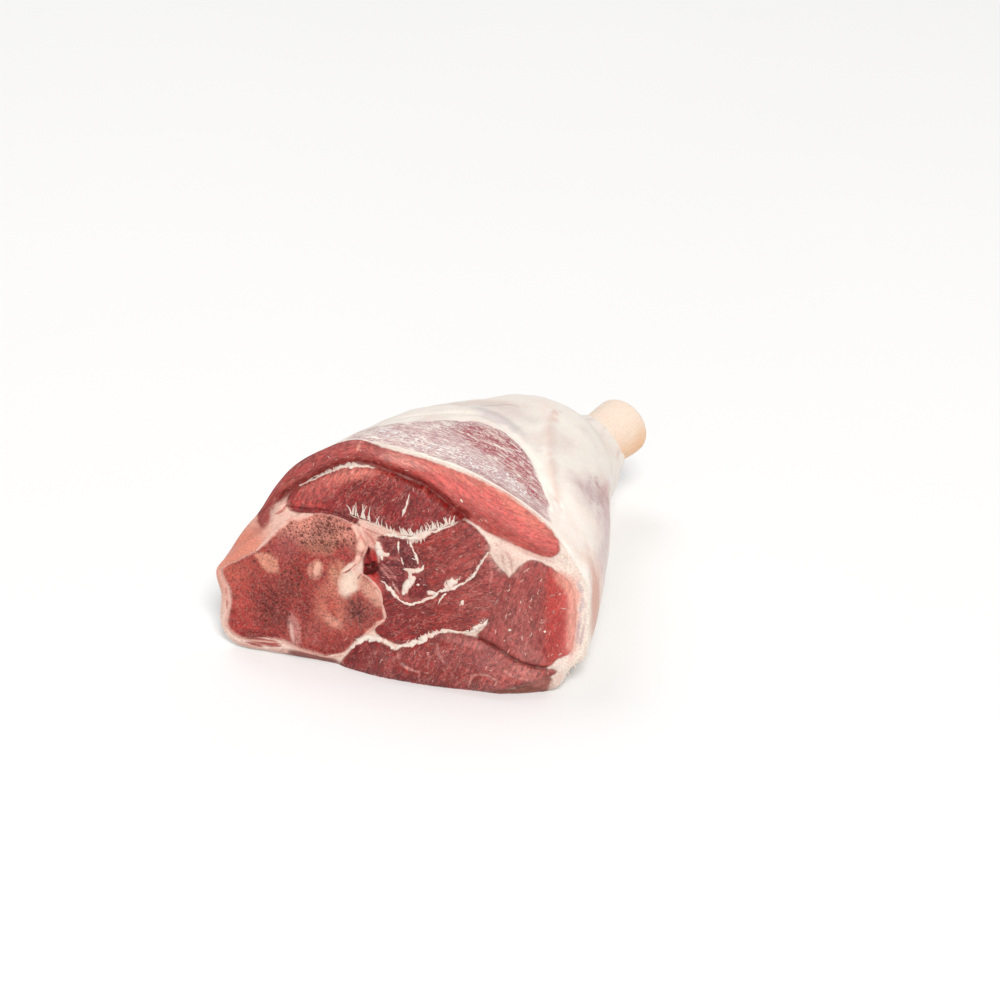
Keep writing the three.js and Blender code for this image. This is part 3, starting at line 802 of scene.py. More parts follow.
# Mesh helpers
class Shell:
    """Points, faces, map places and point values of one closed piece, gathered patch by patch."""

    def __init__(self):
        self.points, self.faces, self.places = [], [], []
        self.values = {}
        self.count = 0

    def add(self, points, values):
        points = points.reshape(-1, 3)
        start = self.count
        self.points.append(points)
        self.count += len(points)
        for key, value in values.items():
            self.values.setdefault(key, []).append(np.asarray(value, float).reshape(len(points), -1))
        return np.arange(start, self.count)

    def quads(self, index, places=None):
        """Quads between neighbours of a grid of point numbers, with their places on the map if it has one."""
        corners = [(slice(0, -1), slice(0, -1)), (slice(0, -1), slice(1, None)),
                   (slice(1, None), slice(1, None)), (slice(1, None), slice(0, -1))]
        self.faces += np.stack([index[rows, cols] for rows, cols in corners], -1).reshape(-1, 4).tolist()
        if places is not None:
            self.places.append(np.stack([places[rows, cols] for rows, cols in corners], -2).reshape(-1, 2))

    def fan(self, ring, centre, place):
        """Triangles from a closed ring to its centre."""
        after = np.roll(ring, -1)
        self.faces += np.stack([ring, after, np.full_like(ring, centre)], -1).tolist()
        turn = np.linspace(0, FULL_TURN, len(ring) + 1)
        round_place = np.array(place) + 0.02 * np.stack([np.cos(turn), np.sin(turn)], -1)
        middle = np.broadcast_to(place, (len(ring), 2))
        self.places.append(np.stack([round_place[:-1], round_place[1:], middle], 1).reshape(-1, 2))

    def close(self, ring, rows, strip, middle, turned=True):
        """Bands from a ring inwards through rows of points and their values, and a fan at the last.

        The strip is the first band's place up the map, the step to the next and a band's height there.
        """
        low, step, height = strip
        previous = ring
        for level, (points, values) in enumerate(rows):
            now = self.add(points, values)
            pair = (now, previous) if turned else (previous, now)
            start = low + step * level
            band = np.stack([wrapped(each) for each in pair])
            self.quads(band, strip_places(len(ring), start, start + height))
            previous = now
        centre = self.add(points.mean(0), {key: value.mean(0) for key, value in values.items()})
        self.fan(previous[::-1] if turned else previous, centre[0], middle)

    def piece(self, name, material, node, sharp=()):
        mesh = bpy.data.meshes.new(name)
        mesh.from_pydata(((np.vstack(self.points) + SHIFT) * MM).tolist(), [], self.faces)
        for key, parts in self.values.items():
            value = np.vstack(parts)
            if key == "tone":
                layer = mesh.attributes.new(key, "FLOAT_COLOR", "POINT")
                filled = np.column_stack([value, np.ones(len(value))])
                layer.data.foreach_set("color", filled.astype(np.float32).ravel())
            elif value.shape[1] == 3:
                layer = mesh.attributes.new(key, "FLOAT_VECTOR", "POINT")
                layer.data.foreach_set("vector", value.astype(np.float32).ravel())
            else:
                layer = mesh.attributes.new(key, "FLOAT", "POINT")
                layer.data.foreach_set("value", value.astype(np.float32).ravel())
        if self.places:
            layer = mesh.uv_layers.new(name="OFBake")
            layer.data.foreach_set("uv", np.vstack(self.places).astype(np.float32).ravel())
        mesh.shade_smooth()
        if len(sharp):
            marked = np.zeros(len(mesh.vertices), bool)
            marked[np.asarray(sharp)] = True
            ends = np.zeros(2 * len(mesh.edges), np.int32)
            mesh.edges.foreach_get("vertices", ends)
            flags = marked[ends.reshape(-1, 2)].all(1)
            mesh.attributes.new("sharp_edge", "BOOLEAN", "EDGE").data.foreach_set("value", flags)
        mesh.materials.append(material)
        made = placed(name, mesh)
        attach(made, "root")
        if node:
            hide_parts(node)
        return made


def placed(name, data):
    """A new object that holds the data, in the scene."""
    made = bpy.data.objects.new(name, data)
    bpy.context.scene.collection.objects.link(made)
    return made


def leaning(points, middle, levels, values):
    """Rows of a closing wall that lean from a ring of points towards a middle."""
    return [(on_floor(points + (middle - points) * inward), values) for inward in levels]


def wrapped(ring):
    return np.concatenate([ring, ring[:1]])


def strip_places(count, low, high):
    """Map places of a band of quads round a ring."""
    across = np.linspace(0.01, 0.99, count + 1)
    return np.stack([np.stack([across, np.full_like(across, v)], -1) for v in (low, high)])


def tube_places(sides, rows, low):
    """Map places of a tube's grid, unrolled above a low edge."""
    return np.stack(np.meshgrid(np.linspace(0.01, 0.99, sides + 1), np.linspace(low, 0.99, rows)), -1)


def square_to_disc(count):
    """Grid on a square turned into one on a round disc, as shares of its radius and turns."""
    side = np.linspace(-1, 1, count)
    a, b = np.meshgrid(side, side)
    x = a * np.sqrt(1 - b * b / 2)
    y = b * np.sqrt(1 - a * a / 2)
    return np.hypot(x, y), np.arctan2(y, x), (np.stack([a, b], -1) + 1) / 2


def square_ring(count):
    """Point numbers round the edge of a square grid, anticlockwise."""
    index = np.arange(count * count).reshape(count, count)
    return np.concatenate([index[0, :-1], index[:-1, -1], index[-1, :0:-1], index[:0:-1, 0]])


# Material helpers
class Nodes:
    """Node tree of one material, with short calls to add and join nodes."""

    def __init__(self, name):
        self.material = bpy.data.materials.new(name)
        self.material.use_nodes = True
        self.tree = self.material.node_tree
        self.shader = self.tree.nodes["Principled BSDF"]

    def add(self, kind, inputs=None, **settings):
        made = self.tree.nodes.new("ShaderNode" + kind)
        for key, value in settings.items():
            setattr(made, key, value)
        for key, value in (inputs or {}).items():
            self.join(made.inputs[key], value)
        return made

    def join(self, socket, value):
        if isinstance(value, bpy.types.NodeSocket):
            self.tree.links.new(value, socket)
        else:
            socket.default_value = value

    def value(self, name):
        return self.add("Attribute", attribute_name=name).outputs["Fac"]

    def vector(self, name):
        return self.add("Attribute", attribute_name=name).outputs["Vector"]

    def tone(self):
        return self.add("Attribute", attribute_name="tone").outputs["Color"]

    def noise(self, vector, scale, detail=3, roughness=0.55):
        inputs = {"Vector": vector, "Scale": scale, "Detail": detail, "Roughness": roughness}
        return self.add("TexNoise", inputs).outputs["Fac"]

    def cells(self, vector, scale, feature):
        return self.add("TexVoronoi", {"Vector": vector, "Scale": scale}, feature=feature)

    def bent(self, vector, scale, reach):
        """The vector, pushed about by noise."""
        push = self.add("TexNoise", {"Vector": vector, "Scale": scale, "Detail": 2}).outputs["Color"]
        return self.add("VectorMath", {0: vector, 1: self.scale(push, reach)}, operation="ADD").outputs[0]

    def contour(self, vector, scale, width):
        """Thin wandering lines, where noise passes its middle value."""
        away = self.math("ABSOLUTE", self.math("SUBTRACT", self.noise(vector, scale, 2), 0.5), 0)
        return self.ramp(away, width, 0)

    def ramp(self, value, low, high, to_low=0, to_high=1):
        inputs = {"Value": value, "From Min": low, "From Max": high, "To Min": to_low, "To Max": to_high}
        return self.add("MapRange", inputs, interpolation_type="SMOOTHSTEP").outputs["Result"]

    def math(self, operation, a, b):
        return self.add("Math", {0: a, 1: b}, operation=operation).outputs[0]

    def weighted(self, *terms):
        """Sum of values, each times its weight."""
        parts = [self.math("MULTIPLY", value, weight) for value, weight in terms]
        total = parts[0]
        for part in parts[1:]:
            total = self.math("ADD", total, part)
        return total

    def mix(self, share, a, b):
        made = self.add("Mix", {"Factor": share}, data_type="RGBA")
        self.join(made.inputs[6], a)
        self.join(made.inputs[7], b)
        return made.outputs[2]

    def scale(self, tone, factor):
        made = self.add("VectorMath", {0: tone, 3: factor}, operation="SCALE")
        return made.outputs[0]

    def finish(self, tone, roughness, height, bump, distance, **sockets):
        made = self.add("Bump", {"Strength": bump, "Distance": distance, "Height": height})
        self.join(self.shader.inputs["Base Color"], tone)
        self.join(self.shader.inputs["Roughness"], roughness)
        self.join(self.shader.inputs["Normal"], made.outputs[0])
        for key, value in sockets.items():
            self.shader.inputs[key.replace("_", " ")].default_value = value
        return self.material


def solid(name):
    """Palette colour for a shader socket."""
    return (*PALETTE[name], 1)


# Light that passes a little way through flesh, fat and bone
FLESH_GLOW = dict(Subsurface_Weight=0.12, Subsurface_Radius=(1, 0.35, 0.25), Subsurface_Scale=0.002)


def lean_material():
    """Bundles of fibres cut across, with fine pale threads between them."""
    n = Nodes("lean")
    grain, fat = n.vector("grain"), n.value("fat")
    bent = n.bent(grain, 0.7, 1)
    bundle = n.cells(bent, 1.5, "F1").outputs["Color"]
    fine = n.noise(bent, 1.6, 5, 0.75)
    patchy = n.weighted((bundle, 0.16), (fine, 0.84))
    lean = n.mix(n.ramp(patchy, 0.41, 0.58), n.scale(n.tone(), 0.56), n.scale(n.tone(), 1.2))
    lean = n.scale(lean, n.ramp(n.noise(grain, 0.28, 4, 0.6), 0.3, 0.7, 0.88, 1.14))
    run = n.add("VectorMath", {0: n.bent(grain, 0.3, 1.2), 1: (0.2, 1, 1)}, operation="MULTIPLY").outputs[0]
    lean = n.scale(lean, n.ramp(n.noise(run, 1.1, 4, 0.65), 0.36, 0.66, 0.84, 1.26))
    # Pale specks: painted glints of the wet surface; the threads are the pale threads between the bundles
    speck = n.ramp(n.noise(n.bent(grain, 1.1, 0.7), 1.9, 4, 0.7), 0.54, 0.66, 0, 0.38)
    thread = n.math("MAXIMUM", n.contour(bent, 0.55, 0.025), n.contour(bent, 1.2, 0.04))
    thread = n.math("MULTIPLY", thread, n.ramp(n.noise(grain, 0.5, 3), 0.45, 0.62, 0.05, 0.6))
    dry = n.ramp(n.value("tone"), 0.025, 0.05)
    lean = n.mix(n.math("MULTIPLY", n.math("MAXIMUM", speck, thread), dry), lean, solid("web"))
    mottled = n.scale(n.tone(), n.ramp(n.noise(grain, 1.5, 5, 0.75), 0.34, 0.66, 0.8, 1.1))
    blotch = n.ramp(n.noise(bent, 1.1, 5, 0.7), 0.5, 0.68, 0, 0.55)
    blotch = n.math("MULTIPLY", blotch, n.ramp(fat, 0.7, 1, 1, 0.35))
    mottled = n.mix(n.math("MULTIPLY", blotch, dry), mottled, solid("web"))
    tone = n.mix(fat, lean, mottled)
    rough = n.math("MAXIMUM", n.ramp(fine, 0.3, 0.7, 0.5, 0.24), n.math("SUBTRACT", 1, dry))
    return n.finish(tone, rough, patchy, 0.7, 0.0005, **FLESH_GLOW)


def cover_material():
    """Pale skin of fat over muscle: thin and streaky where the muscle shows, with bright specks painted as
    glints.
    """
    n = Nodes("fat_cover")
    grain, even, veil = n.vector("grain"), n.vector("even"), n.value("veil")
    bent = n.bent(grain, 0.5, 0.8)
    streak = n.noise(bent, 1.2, 5, 0.7)
    broad = n.noise(even, 0.3, 4, 0.6)
    fine = n.noise(even, 1.4, 4, 0.68)
    haze = n.weighted((broad, 0.7), (streak, 1.8))
    hidden = n.ramp(n.math("ADD", haze, veil), 1.5, 1.92)
    thin = n.ramp(veil, 0.9, 0.6)
    thread = n.math("MAXIMUM", n.contour(bent, 0.6, 0.03), n.contour(n.bent(even, 0.4, 2), 0.5, 0.022))
    hidden = n.math("MAXIMUM", hidden, n.math("MULTIPLY", n.math("MULTIPLY", thread, thin), 0.8))
    lean = n.scale(n.tone(), n.ramp(fine, 0.3, 0.7, 0.76, 1.16))
    pale = n.scale(n.vector("skin"), n.ramp(fine, 0.3, 0.7, 0.95, 1.04))
    tone = n.mix(hidden, lean, pale)
    # Painted glints: bright specks near the glint line, made paler, smoother and raised
    spots = n.ramp(n.noise(n.bent(even, 1, 0.6), 1.1, 4, 0.65), 0.52, 0.59)
    speck = n.math("MULTIPLY", spots, n.value("speck"))
    tone = n.mix(speck, tone, GLINT_TONE)
    rough = n.math("SUBTRACT", n.ramp(streak, 0.3, 0.7, 0.48, 0.3), n.math("MULTIPLY", speck, 0.15))
    height = n.weighted((hidden, 0.5), (fine, 0.5), (speck, 1))
    return n.finish(tone, rough, height, 0.4, 0.0004, Specular_IOR_Level=0.45, **FLESH_GLOW)


def bone_material(name, contrast):
    """Sawn bone: speckled, with open pores where the point value says so."""
    n = Nodes(name)
    grain, pore = n.vector("grain"), n.value("pore")
    bent = n.bent(grain, 1.8, 0.85)
    fine = n.noise(bent, 1.7, 5, 0.8)
    speckle = n.weighted((fine, 0.8), (n.noise(bent, 0.6, 4, 0.65), 0.2))
    tone = n.mix(n.ramp(speckle, 0.4, 0.55), n.scale(n.tone(), 1 - contrast), n.scale(n.tone(), 1.08))
    tone = n.mix(n.value("rough"), n.tone(), tone)
    grit = n.ramp(n.noise(n.bent(grain, 2, 0.5), 1.5, 5, 0.75), 0.48, 0.62, 0, 0.45 * contrast)
    tone = n.mix(n.math("MULTIPLY", grit, n.value("rough")), tone, solid("shell"))
    openings = []
    for scale, start in ((0.9, 0.7), (1.7, 0.62), (2.9, 0.6)):
        spots = n.cells(bent, scale, "F1")
        lifted = n.math("ADD", spots.outputs["Color"], n.math("MULTIPLY", pore, 0.36))
        reach = n.math("MULTIPLY", n.ramp(lifted, start, start + 0.36, 0, 0.58), n.ramp(pore, 0.02, 0.2))
        openings.append(n.ramp(n.math("SUBTRACT", spots.outputs["Distance"], reach), 0.05, -0.16))
    opening = n.math("MAXIMUM", n.math("MAXIMUM", *openings[:2]), n.math("MULTIPLY", openings[2], 0.6))
    tone = n.mix(n.math("MULTIPLY", opening, 0.8), tone, PORE_TONE)
    rough = n.math("MAXIMUM", n.ramp(fine, 0.3, 0.7, 0.52, 0.28), opening)
    height = n.weighted((speckle, contrast), (opening, -0.6))
    return n.finish(tone, rough, height, 0.5, 0.0005, Specular_IOR_Level=0.5, **FLESH_GLOW)


def thread_material():
    n = Nodes("fat_threads")
    fine = n.noise(n.vector("grain"), 1.6, 3, 0.6)
    tone = n.scale(n.tone(), n.ramp(fine, 0.3, 0.7, 0.88, 1.04))
    return n.finish(tone, n.ramp(fine, 0.3, 0.7, 0.55, 0.4), fine, 0.25, 0.0003, **FLESH_GLOW)


# Cut face
def ramp_colour(ramp, value):
    places = [place for place, _ in ramp]
    rows = np.array([PALETTE[name] for _, name in ramp])
    return np.stack([np.interp(value, places, rows[:, axis]) for axis in range(3)], -1)


def fat_colour(s, t):
    """Fat of the cut face, blended between places of known tone."""
    total, weight = 0, 0
    for (s0, t0), name in FAT_TONES:
        near = 1 / (4 + (s - s0) ** 2 + (t - t0) ** 2) ** 1.5
        total, weight = total + near[..., None] * PALETTE[name], weight + near
    return total / weight[..., None]


def face_looks(s, t, depths):
    """Colour, share of fat and fibre directions over the cut face."""
    places = np.stack([s, t], -1)
    tone = fat_colour(s, t)
    fat = np.ones_like(s)
    grain = np.stack([s, t, np.zeros_like(s)], -1)
    for rank, (name, depth) in enumerate(depths.items()):
        muscle = {**MUSCLE_DEFAULTS, **MUSCLES[name]}
        share = smooth(-0.3, 0.3, depth)
        way = muscle["along"]
        way_place = s * way[0] + t * way[1] + 2 * noise(places, 6, 20 + rank, 2)
        shade = ramp_colour(muscle["ramp"], way_place)
        # Each muscle darkens towards its edge: partly the edge's own deeper colour, partly painted shade in
        # the dip at the seam
        shade = shade * (1 - 0.3 * np.exp(-np.maximum(depth, 0) / 0.6))[..., None]
        tone = blend(tone, shade, share)
        fat = fat + (np.interp(way_place, *zip(*muscle["calm"])) - fat) * share
        angle = np.radians(muscle["fibres"])
        run = s * np.cos(angle) + t * np.sin(angle)
        cross = t * np.cos(angle) - s * np.sin(angle)
        if name == "cap":
            run, cross = s, t - crease_height(s)
        fibres = np.stack([run * muscle["stretch"], cross, np.full_like(s, GRAIN_STEP * rank)], -1)
        grain = np.where((depth > 0)[..., None], fibres, grain)
    mottle = noise(places, 2.4, 33, 3)
    tone = washed(tone, s, t, FACE_WASHES, mottle)
    tone = stroked(tone, s, t, FACE_STROKES, mottle)
    # Painted shade: dark red laid along each groove, where shade falls in it
    for line, width, _, share in GROOVES:
        distance = line_distance(s, t, smooth_line(line))
        tone = blend(tone, PALETTE["crease shade"], share * ridge(distance, width))
    # Painted shade: near-black red inside the hole
    tone = blend(tone, PALETTE["hole shade"], hole_share(s, t))
    # Pale fat along the left edge of the thigh bone
    beside = smooth(-1.4, -0.6, femur_inset(s, t)) * smooth(-42, -46, s) * smooth(27, 22, t)
    tone = blend(tone, PALETTE["edge fat"], 0.8 * beside * smooth(5, 9, t))
    tone = tone * (1 + 0.12 * noise(places, 4, 34, 3))[..., None]
    return {"tone": np.clip(tone, 0, 1), "fat": fat, "grain": grain}


def build_lean():
    share, turn, places = square_to_disc(FACE_GRID)
    s, t = around(CUT_CENTRE, share * rim_radius(turn), turn)
    depths = muscle_depths(s, t)
    looks = face_looks(s, t, depths)
    shell = Shell()
    front = shell.add(on_floor(face_point(s, t, face_height(s, t, depths))), looks)
    shell.quads(front.reshape(FACE_GRID, FACE_GRID), 0.01 + 0.98 * places * (1, 0.9) + (0, 0.09))
    ring = square_ring(FACE_GRID)
    values = {key: value.reshape(FACE_GRID**2, -1)[ring] for key, value in looks.items()}
    skirt = leaning(shell.points[0][ring], LEG_MIDDLE, FACE_SKIRT, values)
    shell.close(front[ring], skirt, (0.01, 0.03, 0.025), (0.03, 0.085))
    return shell.piece("lean_cut", lean_material(), "meat", sharp=front[ring])


# Threads of fat on the cut face. Each ribbon has a path, half widths, rises and a colour.
RIBBON_SIDE = np.array([-1, -0.6, 0, 0.6, 1])
RIBBON_TOP = np.array([-0.35, 0.7, 1, 0.7, -0.35])
RIBBON_STEP = 0.2


def seam_ribbon(line, widths, rank):
    """One ragged seam of fat."""
    path = smooth_line(line, steps=12)
    reach = run_length(path)
    place = np.linspace(0, reach[-1], int(reach[-1] / RIBBON_STEP) + 4)
    path = np.stack([np.interp(place, reach, path[:, axis]) for axis in range(2)], -1)
    width = np.interp(place / reach[-1], np.linspace(0, 1, len(widths)), widths)
    ragged = 1 + 0.45 * noise(path, 1.1, 200 + rank) + 0.35 * noise(path, 0.4, 260 + rank)
    ends = smooth(0, 0.6, place + 0.05) * smooth(0, 0.6, reach[-1] - place + 0.05)
    path = path + 0.25 * width[:, None] * noise(np.stack([path, path + 50], 1), 0.9, 320 + rank)
    half = 0.5 * width * ragged * ends
    tone = blend(PALETTE["cream"], PALETTE["fat"], smooth(-0.6, 0.2, noise(path, 1.5, 380)))
    return path, half, 0.12 + 0.3 * half, tone


def tuft_ribbons(random, line, count, lengths, way, spread, half):
    """Fibres of fat that stand off a seam."""
    foot = smooth_line(line, steps=8)
    share = (np.arange(count) + random.uniform(0.1, 0.9, count)) / count * (len(foot) - 1)
    u = np.linspace(0, 1, 8)
    for value in share:
        start = foot[int(value)] + (foot[int(value) + 1] - foot[int(value)]) * (value % 1)
        length = random.uniform(*lengths)
        heading = np.radians(way + spread * random.normal() + 25 * random.normal() * u)
        path = start + np.cumsum(np.stack([np.cos(heading), np.sin(heading)], -1), 0) * length / len(u)
        wide = half * random.uniform(0.6, 1.3) * (1 - 0.75 * u) * random.uniform(0.75, 1.25, len(u))
        yield path, wide, 0.25 - 0.1 * u, np.broadcast_to(PALETTE["fat"], (len(u), 3))


def fleck_ribbons(random):
    """Short pale flecks that follow the fibres inside the muscles: partly fat marbling, partly painted glints
    of the wet surface.
    """
    spots = random.uniform(*FLECK_AREA, (FLECK_SPOTS, 2))
    u = np.linspace(-0.5, 0.5, 6)
    for name, depth in muscle_depths(*spots.T).items():
        inside = (depth > 0.7) & (rim_inset(*spots.T) > 2)
        for spot in spots[inside][:: FLECK_STEP.get(name, FLECK_STEP_ELSEWHERE)]:
            heading = np.radians(MUSCLES[name]["fibres"] + 35 * random.normal()) + 0.6 * u * random.normal()
            size = FLECK_SIZE.get(name, 1)
            length = random.uniform(*FLECK_LENGTHS) * size
            path = spot + u[:, None] * length * np.stack([np.cos(heading), np.sin(heading)], -1)
            wide = random.uniform(*FLECK_HALVES) * size * (1.1 - 3.6 * u * u)
            shade = blend(PALETTE["rose"], PALETTE["cream"], random.uniform(0.2, 0.9))
            yield path, wide, np.full(len(u), FLECK_RISE), np.broadcast_to(shade, (len(u), 3))


def build_threads():
    random = np.random.default_rng(SEED)
    ribbons = [seam_ribbon(line, widths, rank) for rank, (line, widths) in enumerate(SEAMS)]
    for row in TUFTS:
        ribbons += tuft_ribbons(random, *row)
    ribbons += fleck_ribbons(random)
    spread = []
    for path, half, _, _ in ribbons:
        way = np.gradient(path, axis=0)
        side = np.stack([-way[:, 1], way[:, 0]], -1) / (np.linalg.norm(way, axis=1)[:, None] + TINY_STEP)
        spread.append(path[:, None] + side[:, None] * (half[:, None] * RIBBON_SIDE)[..., None])
    s, t = np.concatenate(spread).reshape(-1, 2).T
    ground = face_height(s, t, muscle_depths(s, t))
    ground = np.where(femur_inset(s, t) > 0.4, FEMUR_PROUD, ground).reshape(-1, len(RIBBON_SIDE))
    shell = Shell()
    start = 0
    for places, (_, _, rise, tone) in zip(spread, ribbons):
        height = ground[start:start + len(places)] + rise[:, None] * RIBBON_TOP
        start += len(places)
        tones = blend(tone[:, None], PALETTE["web"], 0.35 * np.abs(RIBBON_SIDE) ** 2)
        grain = np.concatenate([places, height[..., None]], -1)
        index = shell.add(face_point(*np.moveaxis(places, -1, 0), height), {"tone": tones, "grain": grain})
        index = index.reshape(len(places), -1)
        shell.quads(np.column_stack([index, index[:, :1]])[::-1])
        shell.faces += [index[0].tolist(), index[-1][::-1].tolist()]
    return shell.piece("fat_threads", thread_material(), None)


# Fat cover: its places are a turn in degrees and millimetres along the leg, at this much arc for each degree.
ARC = 0.63
COVER_RADIUS = 36
# Patches of muscle that show through it: the veil is the share of membrane over them, the edge is how soft
# their outline is.
WINDOWS = [
    dict(
        outline=[
            (124, 12), (113, 18), (103, 24), (96, 30), (87, 34.6), (75, 36), (63, 34), (51, 29.5),
            (39, 21.5), (29, 10), (26, 2), (40, 1), (60, 1), (80, 1), (100, 1), (118, 2),
        ],
        tone="lilac", veil=0.28, edge=1.2, sunk=0.3,
    ),
    dict(
        outline=[
            (93, 27), (88, 31), (79, 34), (69, 34.6), (58, 32), (47, 27), (38, 20), (33, 12), (36, 8),
            (44, 11), (54, 14), (62, 18), (73, 18), (82, 20), (90, 22),
        ],
        tone="purple", veil=0.28, edge=2.6, sunk=0.1,
    ),
    dict(
        outline=[
            (34, 43), (34, 53), (29, 60), (16, 68), (6, 70), (2, 64), (10, 52), (19, 45), (26, 43),
        ],
        tone="lilac", veil=0.52, edge=4, sunk=0,
    ),
    dict(
        outline=[
            (124, 12), (113, 18), (103, 24), (96, 28), (88, 24), (86, 12), (90, 3), (104, 1), (118, 2),
        ],
        tone="lilac", veil=0.38, edge=4, sunk=0,
    ),
    dict(
        outline=[
            (8, 32), (9, 48), (13, 60), (2, 60), (-6, 46), (-2, 32),
        ],
        tone="lilac", veil=0.7, edge=4, sunk=0,
    ),
]
SIDE_FOLD = [(78, 68), (68, 55), (58, 46.5), (48, 39), (39, 31), (33, 24), (28, 19)]
# Lines on the cover: points, half width, colour, share.
COVER_STROKES = [
    ([(122, 20), (109, 29), (97, 36), (86, 38.4), (75, 38.6), (63, 36.2), (51, 31.2), (39, 23.2), (29, 11.6)],
     1.4, (241, 231, 221), 0.9),
    # Line along the side fold, darker and pinker than the cover: painted shade in the fold
    (SIDE_FOLD, 0.9, (232, 202, 188), 0.5),
    ([(93, 38), (80, 37.4), (68, 36.2), (56, 32.6), (45, 26.2)], 0.3, (253, 248, 243), 0.9),
    ([(103, 46.5), (99, 52), (96, 57), (90, 58.5)], 0.5, (184, 166, 164), 0.7),
    # Wider band along the side fold: painted shade in the fold
    (SIDE_FOLD, 2.4, (228, 206, 196), 0.55),
    ([(18, 74), (8, 74), (0, 70)], 0.5, (220, 172, 160), 0.7),
    ([(150, 44), (170, 46), (190, 40)], 1.4, (230, 204, 194), 0.6),
    ([(210, 20), (200, 40), (206, 60), (216, 76)], 1, (222, 196, 188), 0.6),
]
# Soft tints of the cover: place, reach, turn, colour, share, softness of the edge.
COVER_WASHES = [
    ((87, 42.6), (13, 2.6), 11, (198, 187, 188), 0.7, 0.8),
    ((106, 52), (13, 5), -40, (226, 204, 194), 0.75, 0.6),
    ((76, 66), (1.1, 1.6), 0, (222, 180, 172), 0.5, 0.7),
    ((76, 70), (0.7, 1.3), 0, (224, 186, 178), 0.4, 0.7),
    ((71, 62), (0.9, 1.6), 0, (224, 188, 180), 0.5, 0.7),
    ((84, 52), (6, 5), 0, (226, 214, 208), 0.6, 0.6),
    ((58, 50), (4, 9), 20, (228, 212, 203), 0.6, 0.6),
    ((26, 48), (6, 9), 20, (210, 180, 180), 0.75, 0.8),
    ((17, 62), (6, 9), 0, (206, 160, 150), 0.8, 0.8),
    ((98, 52), (10, 4), 0, (222, 206, 200), 0.5, 0.7),
    ((9, 52), (5, 10), 0, (208, 176, 176), 0.7, 0.7),
    ((0, 42), (6, 16), 0, (214, 190, 190), 0.7, 0.7),
    ((26, 11), (9, 12), 0, (228, 214, 206), 0.8, 0.7),
    ((-8, 15), (9, 11), 0, (210, 156, 138), 0.85, 0.6),
    ((205, 30), (14, 20), 0, (226, 206, 198), 0.6, 0.7),
    ((250, 60), (16, 14), 0, (224, 202, 198), 0.6, 0.7),
    ((160, 17), (15, 16), 0, (206, 182, 180), 0.75, 0.7),
    ((244, 24), (10, 20), 0, (212, 190, 186), 0.65, 0.7),
    ((170, 65), (10, 9), 0, (212, 192, 188), 0.6, 0.8),
    ((40, 98), (40, 6), 0, (244, 232, 221), 0.8, 0.6),
]
# Folds of the cover: points, half width and depth.
COVER_FOLDS = [
    (SIDE_FOLD[:-1], 2.2, 0.6),
    ([(98, 43.6), (84, 43), (72, 40)], 2.4, 0.5),
    ([(118, 24), (97, 39.6), (75, 38.6), (51, 31.2), (33, 16)], 1.6, -0.4),
    ([(8, 26), (8, 12), (5, 4)], 1.2, 0.5),
    ([(34, 40), (22, 46), (8, 50)], 2.4, 0.4),
    ([(160, 42), (182, 46), (204, 40)], 2.2, 0.5),
]
# Painted glints: bright specks lie within reach of this line.
GLINT_LINE = [(112, 9), (96, 7.5), (86, 6.5), (79, 9.5), (70, 8), (61, 6.5), (56, 10), (49, 11), (42, 8.5)]
GLINT_REACH = 7


def on_arc(points):
    """Places by turn in degrees, as millimetres round the leg."""
    return np.array(points, float) * (ARC, 1)


def cover_looks(turn, along):
    """Colour of the muscle under the cover, how far pale membrane hides it, and how far it is sunk."""
    degrees = np.degrees(turn)
    arc = degrees * ARC
    places = np.stack([COVER_RADIUS * np.cos(turn), COVER_RADIUS * np.sin(turn), along], -1)
    tone = np.broadcast_to(PALETTE["lilac"], places.shape).copy()
    veil = np.ones_like(arc)
    sunk = np.zeros_like(arc)
    ragged = noise(places, 5, 61, 3)
    for window in WINDOWS:
        outline = on_arc(window["outline"])
        depth = np.maximum.reduce([depth_inside(arc + 360 * ARC * k, along, outline) for k in (-1, 0, 1)])
        share = smooth(-window["edge"], window["edge"], depth + ragged * window["edge"])
        tone = blend(tone, PALETTE[window["tone"]], share)
        veil = veil + (window["veil"] - veil) * share
        sunk = sunk + window["sunk"] * share
    veil = veil + 0.12 * noise(places, 7, 62, 2)
    skin = blend(PALETTE["cover"], PALETTE["cream"], 0.45 * smooth(0, 0.8, noise(places, 12, 63, 2)))
    skin = blend(skin, PALETTE["lilac"], 0.35 * smooth(0.1, 0.9, noise(places * (1, 1, 0.6), 9, 64, 3)))
    strokes = [(on_arc(line), *rest) for line, *rest in COVER_STROKES]
    streaky = noise(places * (1, 1, 0.5), 2.5, 65, 3)
    washes = [(on_arc(centre), *rest) for centre, *rest in COVER_WASHES]
    skin = washed(skin, arc, along, washes, 1.5 * streaky)
    skin = stroked(skin, arc, along, strokes, streaky)
    # Share of painted glints, near the glint line
    speck = smooth(GLINT_REACH, 1, line_distance(arc, along, on_arc(GLINT_LINE)) + 2 * ragged)
    edge = np.maximum(smooth(1, 0.2, along), smooth(1.6, 0.4, PLACE[-1] - along))
    skin = blend(skin, PALETTE["fat"], 0.5 * edge)
    # Painted shadow: dark red-brown on the foot of the cover under the thigh bone
    under_bone_shade = smooth(221, 225, degrees % 360) * smooth(250, 245, degrees % 360) * smooth(3, 1, along)
    skin = blend(skin, PALETTE["shaded cover foot"], 0.9 * under_bone_shade)
    for line, width, depth in COVER_FOLDS:
        distance = line_distance(arc, along, smooth_line(on_arc(line)))
        sunk = sunk + depth * ridge(distance, width)
    grain = np.stack([arc * 0.23, along, 0.02 * arc], -1)
    return {"tone": tone, "veil": veil, "skin": skin, "grain": grain, "even": places, "speck": speck}, sunk


